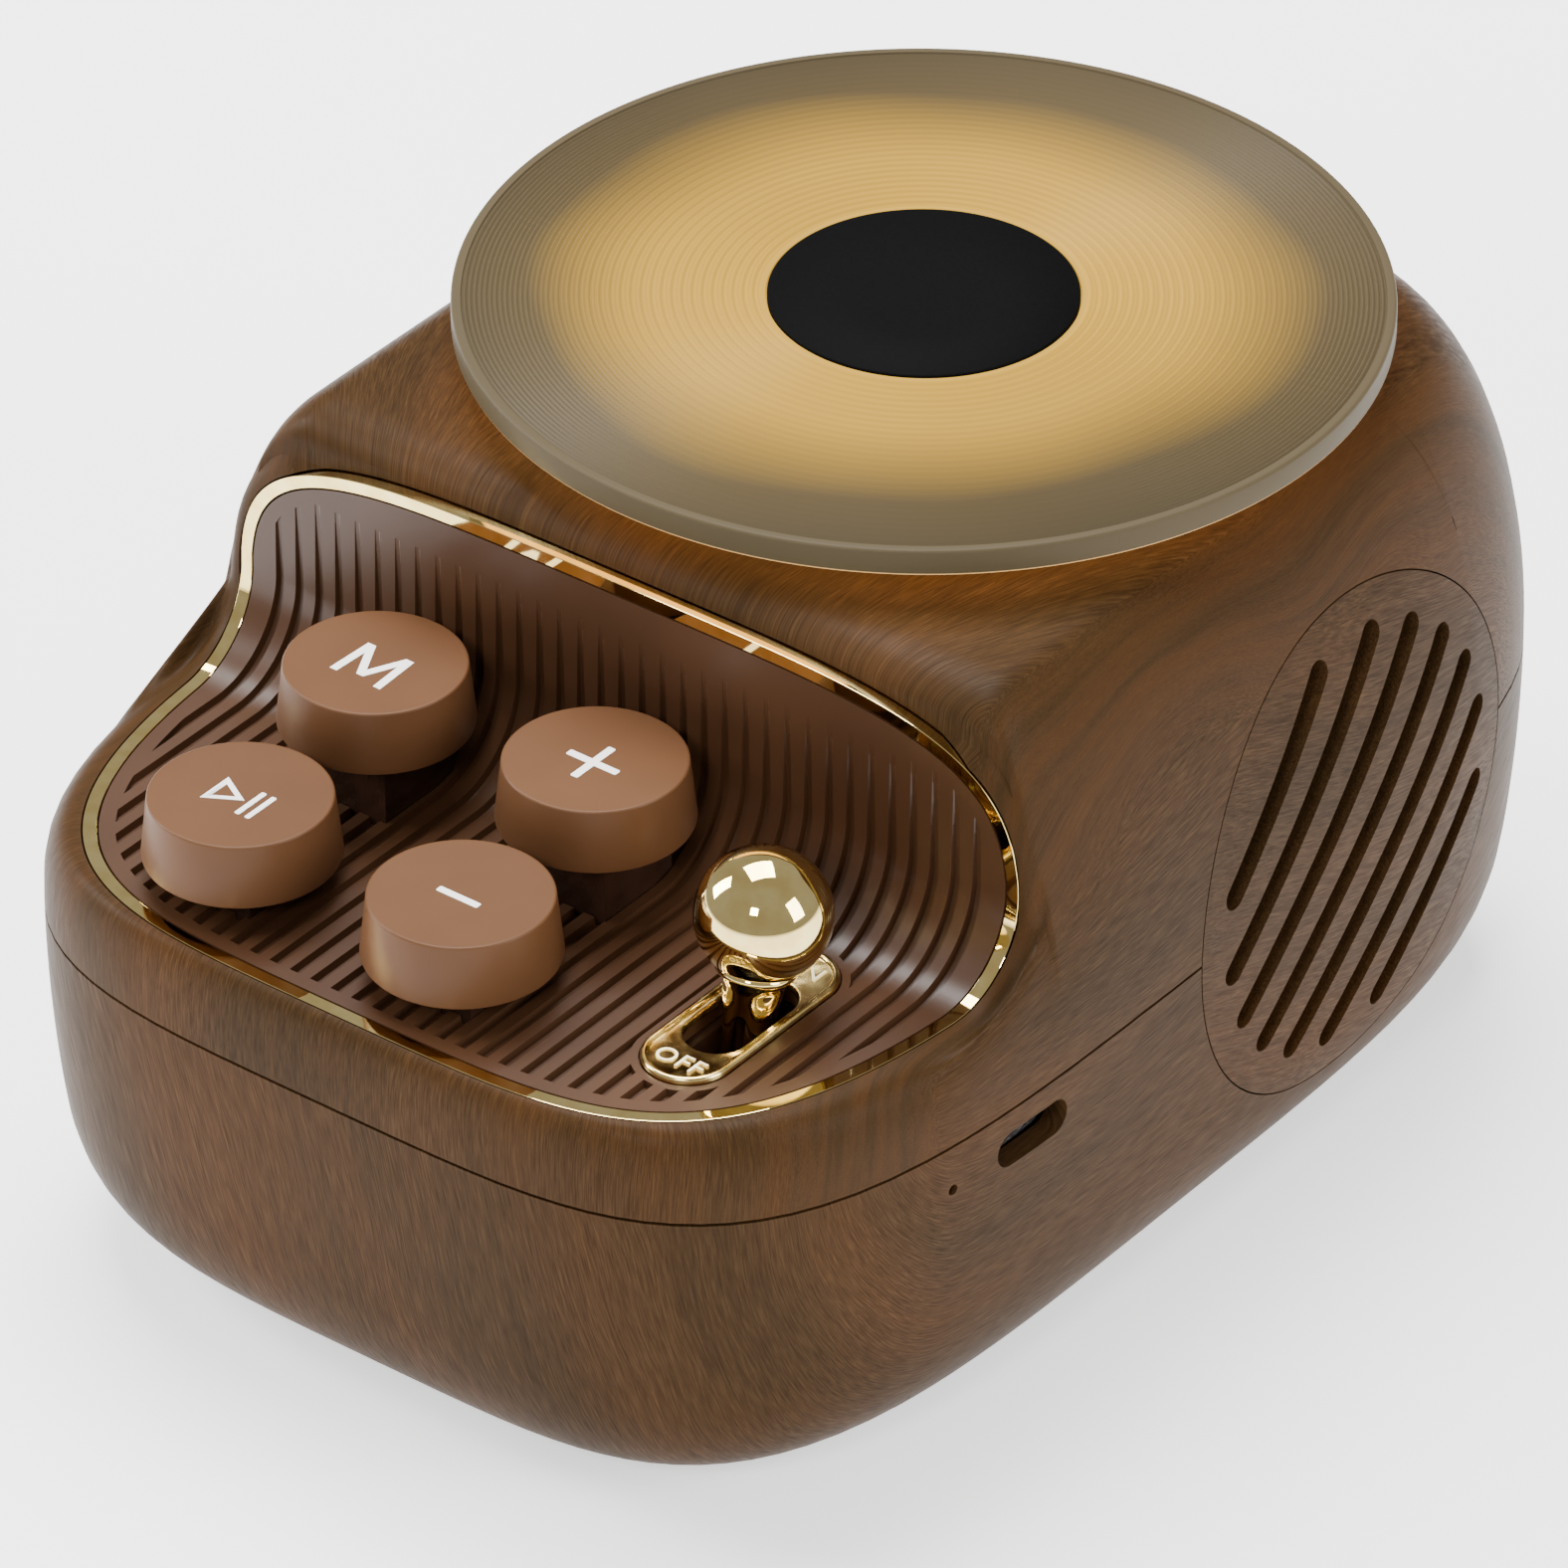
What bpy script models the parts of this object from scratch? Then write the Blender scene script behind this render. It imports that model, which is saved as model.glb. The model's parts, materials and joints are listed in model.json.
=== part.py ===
"""A table-top Bluetooth speaker with a glowing record-shaped lamp: a two-part wood-look shell, a sunken
control deck with four round keys and a ball toggle, a turning disc on a geared motor, a driver and a
passive radiator behind round slotted grilles, and the boards and battery that run them.

Frame: metres, +Z up, front (the controls) towards -Y, the charging socket and the driver towards +X.
"""

from math import cos, pi, radians, sin, sqrt

import bmesh
import bpy
from mathutils import Matrix, Vector

MM = 0.001

# The outer form: a rounded box whose plan is a superellipse and whose front half is scooped down.
BODY_HALF_WIDTH = 49.0 * MM
BODY_HALF_DEPTH = 68.3 * MM
PLAN_POWER = 4.1
BOTTOM_Z = 1.2 * MM
SEAM_Z = 35.6 * MM
SEAM_GAP = 0.3 * MM
TOP_Z = 71.0 * MM
FLANK_DRAFT = 3.0 * MM
FOOT_ROUND_WIDTH = 11.0 * MM
FOOT_ROUND_HEIGHT = 15.6 * MM
FOOT_ROUND_POWER = 2.6
SHOULDER_INSET = 12.0 * MM
RIM_INSET = 4.8 * MM
FRONT_INSET_SHARE = 0.42
WALL = 2.2 * MM
TOP_WALL = 4.4 * MM
LIP_INSET = 1.3 * MM
LIP_HEIGHT = 1.6 * MM

# The control deck's section: a floor, a hollow fillet and an upright back wall.
DECK_Z = 44.4 * MM
DECK_FILLET = 8.8 * MM
DECK_WALL_Y = -25.6 * MM
DECK_THICK = 2.0 * MM
CREST_Z = 67.8 * MM
CREST_DEPTH = 5.2 * MM
DECK_FRONT_Y = -66.5 * MM
DECK_HALF_WIDTH = 44.6 * MM
DECK_TOP_Z = 68.3 * MM
DECK_WALL_POWER = 4.3
RING_WIDTH = 1.3 * MM
RING_THICK = 1.6 * MM
FIT = 0.15 * MM
GAP = 0.3 * MM
LEDGE = 3.2 * MM

# The record disc, its drive and the lamp below it.
DISC_Y = 19.1 * MM
DISC_RADIUS = 43.1 * MM
DISC_TOP_Z = 76.9 * MM
DISC_THICK = 2.6 * MM
LABEL_RADIUS = 14.3 * MM
LABEL_THICK = 0.6 * MM
HUB_RADIUS = 10.0 * MM
SHAFT_RADIUS = 1.5 * MM
TRAY_RADIUS = 30.0 * MM
TRAY_FLANGE = 3.0 * MM
TRAY_DEPTH = 11.0 * MM
TRAY_WALL = 1.5 * MM
MOTOR_RADIUS = 12.0 * MM
MOTOR_HEIGHT = 18.0 * MM

# The keys: columns and rows of switch towers standing through the deck.
KEY_LEFT_X = -20.1 * MM
KEY_PITCH_X = 25.2 * MM
KEY_FRONT_Y = -54.9 * MM
KEY_PITCH_Y = 19.1 * MM
KEY_ROW_RISE = 4.0 * MM
CAP_TOP_Z = 53.2 * MM
CAP_TOP_RADIUS = 8.45 * MM
CAP_SKIRT_RADIUS = 9.1 * MM
CAP_HEIGHT = 6.2 * MM
CAP_WALL = 1.3 * MM
TOWER_BASE = 10.6 * MM
TOWER_HEAD = 8.8 * MM
KEY_BOARD_Z = 34.4 * MM
BOARD_THICK = 1.6 * MM
STEM_RADIUS = 2.2 * MM
SPRING_LENGTH = 5.2 * MM

# The ball toggle.
TOGGLE_X = 28.5 * MM
TOGGLE_Y = -45.0 * MM
TOGGLE_PIVOT_Z = 38.0 * MM
TOGGLE_TILT = radians(12.0)
TOGGLE_LENGTH = 16.0 * MM
BALL_RADIUS = 6.25 * MM
PLATE_LENGTH = 23.4 * MM
PLATE_WIDTH = 8.6 * MM
PLATE_THICK = 1.1 * MM
PLATE_PROUD = 0.6 * MM
SLOT_LENGTH = 12.9 * MM
SLOT_WIDTH = 6.1 * MM

# The grilles and what plays behind them.
GRILLE_Y = 21.2 * MM
GRILLE_Z = 35.5 * MM
GRILLE_RADIUS = 25.2 * MM
GRILLE_PITCH = 5.9 * MM
GRILLE_SLOT_WIDTH = 2.3 * MM
GRILLE_SLOT_MARGIN = 3.8 * MM
GRILLE_SHORTEST_SLOT = 22.0 * MM
GRILLE_ANGLE = radians(45.0)
GRILLE_SKIRT_X = 43.1 * MM
DRIVER_CLEARANCE = 1.4 * MM
DRIVER_FLANGE_WIDTH = 3.4 * MM
DRIVER_FLANGE_THICK = 1.8 * MM

# The charging socket, the microphone hole, and the boards.
SOCKET_Y = -28.7 * MM
SOCKET_Z = 31.3 * MM
SOCKET_LENGTH = 9.6 * MM
SOCKET_HEIGHT = 3.7 * MM
PIN_Y = -39.2 * MM
PIN_Z = 30.8 * MM
PIN_RADIUS = 0.55 * MM
BATTERY_RADIUS = 9.2 * MM
BATTERY_LENGTH = 66.0 * MM
BATTERY_Y = -20.0 * MM

# Screws and feet.
SCREW_FRONT = (17.0 * MM, -46.0 * MM)
SCREW_REAR = (17.0 * MM, 50.0 * MM)
POST_RADIUS = 4.0 * MM
BOSS_RADIUS = 3.5 * MM
SCREW_RADIUS = 1.1 * MM
SCREW_HEAD_RADIUS = 2.5 * MM
FOOT_X = 28.0 * MM
FOOT_Y = 42.0 * MM
FOOT_RADIUS = 4.5 * MM
FOOT_HEIGHT = 1.5 * MM

OBJECT_NAME = "record_lamp_speaker"

for old in list(bpy.data.objects):
    bpy.data.objects.remove(old, do_unlink=True)

parts = bpy.data.collections.new(OBJECT_NAME)
bpy.context.scene.collection.children.link(parts)
cutters = bpy.data.collections.new("cutters")
cutters.hide_render = True
bpy.context.scene.collection.children.link(cutters)


def material(name, colour, roughness, metallic=0.0):
    found = bpy.data.materials.get(name)
    if found:
        return found
    made = bpy.data.materials.new(name)
    made.use_nodes = True
    shader = made.node_tree.nodes["Principled BSDF"]
    shader.inputs["Base Color"].default_value = (*colour, 1.0)
    shader.inputs["Roughness"].default_value = roughness
    shader.inputs["Metallic"].default_value = metallic
    return made


WOOD = material("walnut_film", (0.19, 0.105, 0.06), 0.45)
DECK = material("deck_brown", (0.115, 0.055, 0.04), 0.25)
GOLD = material("polished_gold", (0.83, 0.62, 0.26), 0.12, 1.0)
CAP = material("cap_caramel", (0.42, 0.22, 0.12), 0.4)
TOWER = material("tower_brown", (0.09, 0.045, 0.03), 0.35)
AMBER = material("amber_acrylic", (0.75, 0.5, 0.2), 0.3)
BLACK = material("label_black", (0.02, 0.02, 0.02), 0.5)
WHITE = material("tray_white", (0.85, 0.84, 0.8), 0.5)
BOARD = material("board_green", (0.03, 0.16, 0.08), 0.4)
STEEL = material("steel", (0.55, 0.55, 0.56), 0.3, 1.0)
RUBBER = material("rubber_black", (0.03, 0.03, 0.03), 0.8)
CONE = material("cone_paper", (0.05, 0.05, 0.05), 0.7)
CELL = material("cell_wrap", (0.04, 0.2, 0.42), 0.4)


def place(obj, mat=None, cutter=False):
    home = cutters if cutter else parts
    for col in list(obj.users_collection):
        col.objects.unlink(obj)
    home.objects.link(obj)
    if cutter:
        obj.hide_render = True
        obj.display_type = "WIRE"
    if mat:
        obj.data.materials.clear()
        obj.data.materials.append(mat)
    return obj


def from_bmesh(name, shape, mat=None, cutter=False):
    bmesh.ops.recalc_face_normals(shape, faces=shape.faces)
    mesh = bpy.data.meshes.new(name)
    shape.to_mesh(mesh)
    shape.free()
    return place(bpy.data.objects.new(name, mesh), mat, cutter)


def smooth(obj, angle=35.0):
    for face in obj.data.polygons:
        face.use_smooth = True
    edges = bmesh.new()
    edges.from_mesh(obj.data)
    for edge in edges.edges:
        if len(edge.link_faces) == 2 and edge.calc_face_angle(0.0) > radians(angle):
            edge.smooth = False
    edges.to_mesh(obj.data)
    edges.free()
    return obj


def boolean(obj, other, operation="DIFFERENCE", solver="EXACT"):
    """Applies one Boolean and leaves the result as the object's own mesh."""
    step = obj.modifiers.new("boolean", "BOOLEAN")
    step.operation = operation
    step.solver = solver
    step.object = other
    graph = bpy.context.evaluated_depsgraph_get()
    graph.update()
    mesh = bpy.data.meshes.new_from_object(obj.evaluated_get(graph))
    obj.modifiers.clear()
    old = obj.data
    obj.data = mesh
    bpy.data.meshes.remove(old)
    return obj


def cut(obj, *others):
    for other in others:
        boolean(obj, other)
    return obj


def join(obj, *others):
    for other in others:
        boolean(obj, other, "UNION")
    return obj


def keep(obj, *others):
    for other in others:
        boolean(obj, other, "INTERSECT")
    return obj


def prism(name, outline, low, high, axis="Z", mat=None, cutter=True):
    """A flat outline given height: the outline is a filled 2D curve, extruded along one axis."""
    curve = bpy.data.curves.new(name, "CURVE")
    curve.dimensions = "2D"
    curve.fill_mode = "BOTH"
    curve.extrude = (high - low) / 2
    line = curve.splines.new("POLY")
    line.points.add(len(outline) - 1)
    for point, (u, v) in zip(line.points, outline):
        point.co = (u, v, 0.0, 1.0)
    line.use_cyclic_u = True
    holder = bpy.data.objects.new(name, curve)
    parts.objects.link(holder)
    graph = bpy.context.evaluated_depsgraph_get()
    graph.update()
    mesh = bpy.data.meshes.new_from_object(holder.evaluated_get(graph))
    bpy.data.objects.remove(holder, do_unlink=True)
    shape = bmesh.new()
    shape.from_mesh(mesh)
    bpy.data.meshes.remove(mesh)
    bmesh.ops.remove_doubles(shape, verts=shape.verts, dist=1e-6)
    middle = (low + high) / 2
    turn = {
        "Z": Matrix.Translation((0, 0, middle)),
        "Y": Matrix(((1, 0, 0, 0), (0, 0, 1, middle), (0, 1, 0, 0), (0, 0, 0, 1))),
        "X": Matrix(((0, 0, 1, middle), (1, 0, 0, 0), (0, 1, 0, 0), (0, 0, 0, 1))),
    }[axis]
    bmesh.ops.transform(shape, matrix=turn, verts=shape.verts)
    return from_bmesh(name, shape, mat, cutter)


def turned(name, profile, steps, mat=None, cutter=False, at=(0, 0, 0), tip="Z"):
    """A turned piece: the profile of (radius, height) spun about its axis by a Screw modifier."""
    mesh = bpy.data.meshes.new(name)
    points = [(r, 0.0, z) for r, z in profile]
    closed = profile[0][0] > 1e-9
    edges = [(i, i + 1) for i in range(len(points) - 1)]
    if closed:
        edges.append((len(points) - 1, 0))
    mesh.from_pydata(points, edges, [])
    obj = bpy.data.objects.new(name, mesh)
    parts.objects.link(obj)
    spin = obj.modifiers.new("spin", "SCREW")
    spin.axis = "Z"
    spin.angle = 2 * pi
    spin.steps = steps
    spin.render_steps = steps
    spin.use_merge_vertices = True
    spin.merge_threshold = 0.00001
    graph = bpy.context.evaluated_depsgraph_get()
    graph.update()
    made = bpy.data.meshes.new_from_object(obj.evaluated_get(graph))
    bpy.data.objects.remove(obj, do_unlink=True)
    shape = bmesh.new()
    shape.from_mesh(made)
    bpy.data.meshes.remove(made)
    bmesh.ops.remove_doubles(shape, verts=shape.verts, dist=1e-6)
    if tip == "X":
        bmesh.ops.transform(shape, matrix=Matrix.Rotation(pi / 2, 4, "Y"), verts=shape.verts)
    if tip == "-X":
        bmesh.ops.transform(shape, matrix=Matrix.Rotation(-pi / 2, 4, "Y"), verts=shape.verts)
    bmesh.ops.translate(shape, vec=Vector(at), verts=shape.verts)
    return smooth(from_bmesh(name, shape, mat, cutter))


def rod(name, radius, low, high, steps=20, mat=None, cutter=True, at=(0, 0), tip="Z"):
    """A plain cylinder from low to high along its axis."""
    centre = {"Z": (at[0], at[1], 0.0), "X": (0.0, at[0], at[1])}[tip]
    sides = [(0, high), (radius, high), (radius, low), (0, low)]
    return turned(name, sides, steps, mat, cutter, centre, tip)


def box(name, low, high, mat=None, cutter=True, round_by=0.0):
    shape = bmesh.new()
    bmesh.ops.create_cube(shape, size=1.0)
    for vert in shape.verts:
        vert.co = [l + (c + 0.5) * (h - l) for c, l, h in zip(vert.co, low, high)]
    if round_by:
        bmesh.ops.bevel(shape, geom=shape.edges[:], offset=round_by, segments=1, affect="EDGES")
    return from_bmesh(name, shape, mat, cutter)


def stadium(half_length, half_width, count=10, centre=(0.0, 0.0)):
    """The outline of a slot lying along the second axis."""
    straight = half_length - half_width
    line = []
    for k in range(count + 1):
        a = pi * k / count
        line.append((centre[0] + half_width * cos(a), centre[1] + straight + half_width * sin(a)))
    for k in range(count + 1):
        a = pi + pi * k / count
        line.append((centre[0] + half_width * cos(a), centre[1] - straight + half_width * sin(a)))
    return line


# ---- the outer form -------------------------------------------------------------------------------

CORNER_ANGLES = (0, 3, 9, 18, 28, 38, 48, 58, 68)
PLAIN_YS = (-32.0, -16.0, 0.0, 16.0, 32.0)
FLANK_YS = (-37.0, -34.0, -31.5, -29.2, -27.4, -26.3, -25.8, -25.4, -24.6, -23.0, -20.5, -14.0, 2.0, 22.0)


def half_plan(inset, front_share=1.0, flank=FLANK_YS):
    """The right-hand half of the plan outline at an inset, from the front middle to the back middle."""
    wide = BODY_HALF_WIDTH - inset
    front = BODY_HALF_DEPTH - inset * front_share
    back = BODY_HALF_DEPTH - inset
    power = 2.0 / PLAN_POWER
    line = []
    for angle in CORNER_ANGLES:
        a = radians(angle)
        line.append((wide * sin(a) ** power, -front * cos(a) ** power))
    for y in flank:
        deep = front if y < 0 else back
        y = y * MM * deep / BODY_HALF_DEPTH
        line.append((wide * (1 - abs(y / deep) ** PLAN_POWER) ** (1 / PLAN_POWER), y))
    for angle in reversed(CORNER_ANGLES):
        a = radians(angle)
        line.append((wide * sin(a) ** power, back * cos(a) ** power))
    return line


def whole_plan(half):
    """Both halves as one closed outline, counter-clockwise from the front middle."""
    return half + [(-x, y) for x, y in reversed(half[1:-1])]


def scoop(y, sink=0.0):
    """The height of the scooped top at a depth: the deck floor, the fillet, the wall and the crest."""
    floor = DECK_Z - sink
    radius = DECK_FILLET + sink
    wall = DECK_WALL_Y + sink
    start = wall - radius
    crest = CREST_Z - sink
    top = TOP_Z - sink
    if y <= start:
        return floor
    if y < wall - 0.2 * MM:
        return floor + radius - sqrt(max(0.0, radius**2 - (y - start) ** 2))
    if y < wall + 0.25 * MM:
        share = (y - wall + 0.2 * MM) / (0.45 * MM)
        low = floor + radius - sqrt(radius**2 - (radius - 0.2 * MM) ** 2)
        return low + (crest - low) * share
    run = min(1.0, (y - wall - 0.25 * MM) / CREST_DEPTH)
    return crest + (top - crest) * sqrt(1 - (1 - run) ** 2)


def shoulder(inset, y, sink=0.0):
    """The height of the upper form at an inset from its outline."""
    height = scoop(y, sink)
    share = (height - (DECK_Z - sink)) / (TOP_Z - DECK_Z)
    reach = RIM_INSET + (SHOULDER_INSET - RIM_INSET) * share
    part = max(0.0, 1 - inset / reach)
    return SEAM_Z + (height - SEAM_Z) * sqrt(1 - part**2)


def lower_inset(z, floor):
    """How far the lower flank has drawn in at a height."""
    k = (SEAM_Z - z) / (SEAM_Z - floor)
    inset = FLANK_DRAFT * k * k
    if z < floor + FOOT_ROUND_HEIGHT:
        g = min(1.0, (floor + FOOT_ROUND_HEIGHT - z) / FOOT_ROUND_HEIGHT)
        inset += FOOT_ROUND_WIDTH * (1 - (1 - g**FOOT_ROUND_POWER) ** (1 / FOOT_ROUND_POWER))
    return inset


def ring(plan, z):
    return [(x, y, z) for x, y in plan]


def loft(name, rings, fill_first, fill_last, mat=None, cutter=False):
    """Rings of the same count joined in turn. A fill of None joins the last ring to the first."""
    shape = bmesh.new()
    rows = [[shape.verts.new(p) for p in points] for points in rings]
    count = len(rows[0])
    pairs = list(zip(rows, rows[1:]))
    if fill_first is None:
        pairs.append((rows[-1], rows[0]))
    for low, high in pairs:
        for i in range(count):
            j = (i + 1) % count
            shape.faces.new((low[i], low[j], high[j], high[i]))
    for fill, row in ((fill_first, rows[0]), (fill_last, rows[-1])):
        if fill == "flat":
            shape.faces.new(row)
        if fill == "ladder":
            middle = count // 2
            for i in range(middle):
                corners = (row[i], row[i + 1], row[-(i + 1)], row[-i] if i else row[0])
                kept = []
                for corner in corners:
                    if corner not in kept:
                        kept.append(corner)
                shape.faces.new(kept)
    return from_bmesh(name, shape, mat, cutter)


LOWER_LEVELS = (0.0, 0.35, 1.6, 4.2, 8.5, 15.0, 24.0)
INNER_LEVELS = (0.0, 1.2, 4.0, 10.0, 22.0)
UPPER_INSETS = (0.0, 0.2, 0.9, 2.0, 3.4, 4.8, 8.0, 12.0)


def upper_rings(shrink=0.0, sink=0.0, insets=UPPER_INSETS, start_z=None):
    """Rings over the upper form, from the seam line to where the top lies level."""
    made = []
    for inset in insets:
        inset = inset * MM
        points = []
        share = FRONT_INSET_SHARE
        half = []
        wide = BODY_HALF_WIDTH - shrink - inset
        front = BODY_HALF_DEPTH - shrink - inset * share
        back = BODY_HALF_DEPTH - shrink - inset
        power = 2.0 / PLAN_POWER
        for angle in CORNER_ANGLES:
            a = radians(angle)
            half.append((wide * sin(a) ** power, -front * cos(a) ** power))
        for y in FLANK_YS:
            y = y * MM + sink * (1.0 if y > -40 and y < -20 else 0.0)
            deep = front if y < 0 else back
            half.append((wide * (1 - abs(y / deep) ** PLAN_POWER) ** (1 / PLAN_POWER), y))
        for angle in reversed(CORNER_ANGLES):
            a = radians(angle)
            half.append((wide * sin(a) ** power, back * cos(a) ** power))
        for x, y in whole_plan(half):
            z = shoulder(inset, y, sink)
            if start_z and inset == 0.0:
                z = start_z
            points.append((x, y, z))
        made.append(points)
    return made


def lower_rings(shrink, floor, top, levels=LOWER_LEVELS, flank=FLANK_YS):
    made = []
    for level in levels:
        z = floor + level * MM
        made.append(ring(whole_plan(half_plan(lower_inset(z, floor) + shrink, 1.0, flank)), z))
    made.append(ring(whole_plan(half_plan(shrink, 1.0, flank)), top))
    return made


def seam_ring(inset, z, flank=FLANK_YS):
    return ring(whole_plan(half_plan(inset, 1.0, flank)), z)


INNER_FLOOR_Z = BOTTOM_Z + WALL
INNER_INSETS = (0.0, 0.9, 3.0, 6.0, 12.0)

form_out = loft(
    "form_out",
    lower_rings(0.0, BOTTOM_Z, SEAM_Z) + upper_rings()[1:],
    "flat",
    "ladder",
    cutter=True,
)
form_in = loft(
    "form_in",
    lower_rings(WALL, INNER_FLOOR_Z, SEAM_Z, INNER_LEVELS) + upper_rings(WALL, TOP_WALL, INNER_INSETS)[1:],
    "flat",
    "ladder",
    cutter=True,
)

lip_top = SEAM_Z + LIP_HEIGHT
low_edge = SEAM_Z - SEAM_GAP / 2
high_edge = SEAM_Z + SEAM_GAP / 2
lower_shell = loft(
    "lower_shell",
    lower_rings(0.0, BOTTOM_Z, low_edge, LOWER_LEVELS, PLAIN_YS)
    + [
        seam_ring(LIP_INSET, low_edge, PLAIN_YS),
        seam_ring(LIP_INSET, lip_top, PLAIN_YS),
        seam_ring(WALL, lip_top, PLAIN_YS),
    ]
    + list(reversed(lower_rings(WALL, INNER_FLOOR_Z, low_edge, INNER_LEVELS, PLAIN_YS))),
    "flat",
    "flat",
    WOOD,
)
rebate = LIP_INSET - 2 * FIT
upper_outer = upper_rings(0.0, 0.0, UPPER_INSETS)
upper_outer[0] = seam_ring(0.0, high_edge)
upper_inner = upper_rings(WALL, TOP_WALL, INNER_INSETS, lip_top + 2 * GAP)


def crown_shell(name, outer, inner, mat):
    """The upper shell: two domed skins joined round their open lower edges."""
    shape = bmesh.new()
    skins = []
    for rings in (outer, inner):
        rows = [[shape.verts.new(p) for p in points] for points in rings]
        skins.append(rows)
        count = len(rows[0])
        for low, high in zip(rows, rows[1:]):
            for i in range(count):
                j = (i + 1) % count
                shape.faces.new((low[i], low[j], high[j], high[i]))
        row = rows[-1]
        for i in range(count // 2):
            kept = []
            for corner in (row[i], row[i + 1], row[-(i + 1)], row[-i] if i else row[0]):
                if corner not in kept:
                    kept.append(corner)
            shape.faces.new(kept)
    first, second = skins[0][0], skins[1][0]
    count = len(first)
    for i in range(count):
        j = (i + 1) % count
        shape.faces.new((first[i], second[i], second[j], first[j]))
    return from_bmesh(name, shape, mat)


edge_rings = [
    seam_ring(rebate, high_edge),
    seam_ring(rebate, lip_top + GAP),
    seam_ring(WALL, lip_top + GAP),
]
upper_shell = crown_shell("upper_shell", upper_outer, edge_rings + upper_inner, WOOD)

# ---- the control deck, its trim ring, and the opening they sit in ----------------------------------


def deck_plan(inward):
    """The deck's outline seen from above: curved round the front, straight at the sides."""
    wide = DECK_HALF_WIDTH - inward
    deep = -DECK_FRONT_Y - inward
    power = 2.0 / PLAN_POWER
    right = [(wide, 0.0)]
    for k in range(15):
        a = (pi / 2) * (1 - (k + 0.5) / 15.5)
        right.append((wide * sin(a) ** power, -deep * cos(a) ** power))
    right.append((0.0, -deep))
    return right + [(-x, y) for x, y in reversed(right[:-1])]


def deck_front(inward):
    """The deck's outline seen from the front: round-shouldered at the top of its back wall."""
    wide = DECK_HALF_WIDTH - inward
    tall = DECK_TOP_Z - DECK_Z - inward
    power = 2.0 / DECK_WALL_POWER
    right = [(wide, DECK_Z - 20 * MM)]
    for k in range(14):
        a = (pi / 2) * (1 - k / 14)
        right.append((wide * sin(a) ** power, DECK_Z + tall * max(0.0, cos(a)) ** power))
    right.append((0.0, DECK_Z + tall))
    return right + [(-x, z) for x, z in reversed(right[:-1])]


def deck_section(high, low):
    """The deck's section, as (y, z): a sheet between two depths below its face, or all above one."""
    centre_y = DECK_WALL_Y - DECK_FILLET
    centre_z = DECK_Z + DECK_FILLET

    def face(depth):
        line = [(-80 * MM, DECK_Z - depth)]
        for k in range(9):
            a = -pi / 2 + (pi / 2) * k / 8
            radius = DECK_FILLET + depth
            line.append((centre_y + radius * cos(a), centre_z + radius * sin(a)))
        line.append((DECK_WALL_Y + depth, 90 * MM))
        return line

    if high is None:
        return face(low) + [(-80 * MM, 90 * MM)]
    return face(high) + list(reversed(face(low)))


def deck_sheet(name, high, low, inward, mat=None, cutter=False):
    sheet = prism(name, deck_section(high, low), -60 * MM, 60 * MM, "X", mat, cutter)
    plan = prism(name + "_plan", deck_plan(inward), 20 * MM, 100 * MM, "Z")
    front = prism(name + "_front", deck_front(inward), -90 * MM, 0.0, "Y")
    return keep(sheet, plan, front)


recess = deck_sheet("recess", None, DECK_THICK + GAP, -FIT, cutter=True)
window = deck_sheet("window", None, 14 * MM, LEDGE, cutter=True)
cut(upper_shell, recess, window)

deck_edge = RING_WIDTH + FIT
control_deck = deck_sheet("control_deck", 0.0, DECK_THICK, deck_edge, DECK)
trim_ring = deck_sheet("trim_ring", 0.0, RING_THICK, 0.0, GOLD)
ring_hole = deck_sheet("ring_hole", -5 * MM, 8 * MM, RING_WIDTH, cutter=True)
cut(trim_ring, ring_hole)

# ---- keys -------------------------------------------------------------------------------------------

KEYS = (
    ("mode", 0, 1),
    ("play", 0, 0),
    ("plus", 1, 1),
    ("minus", 1, 0),
)
board_top = KEY_BOARD_Z + BOARD_THICK


def frustum(name, at, base, head, low, high, mat=None, cutter=False):
    """A square pillar that tapers from its base to its head."""
    rows = []
    for half, z in ((base / 2, low), (head / 2, high)):
        corners = ((-1, -1), (1, -1), (1, 1), (-1, 1))
        rows.append([(at[0] + half * sx, at[1] + half * sy, z) for sx, sy in corners])
    return loft(name, rows, "flat", "flat", mat, cutter)


def coil(name, at, radius, wire, low, high, turns, mat):
    """A compression spring wound as a bevelled curve."""
    curve = bpy.data.curves.new(name, "CURVE")
    curve.dimensions = "3D"
    curve.bevel_depth = wire
    curve.bevel_resolution = 2
    curve.use_fill_caps = True
    steps = turns * 7
    line = curve.splines.new("POLY")
    line.points.add(steps)
    for k, point in enumerate(line.points):
        a = 2 * pi * turns * k / steps
        z = low + wire + (high - low - 2 * wire) * k / steps
        point.co = (at[0] + radius * cos(a), at[1] + radius * sin(a), z, 1.0)
    holder = bpy.data.objects.new(name, curve)
    parts.objects.link(holder)
    graph = bpy.context.evaluated_depsgraph_get()
    graph.update()
    mesh = bpy.data.meshes.new_from_object(holder.evaluated_get(graph))
    bpy.data.objects.remove(holder, do_unlink=True)
    shape = bmesh.new()
    shape.from_mesh(mesh)
    bpy.data.meshes.remove(mesh)
    bmesh.ops.remove_doubles(shape, verts=shape.verts, dist=1e-6)
    return smooth(from_bmesh(name, shape, mat), 80)


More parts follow.
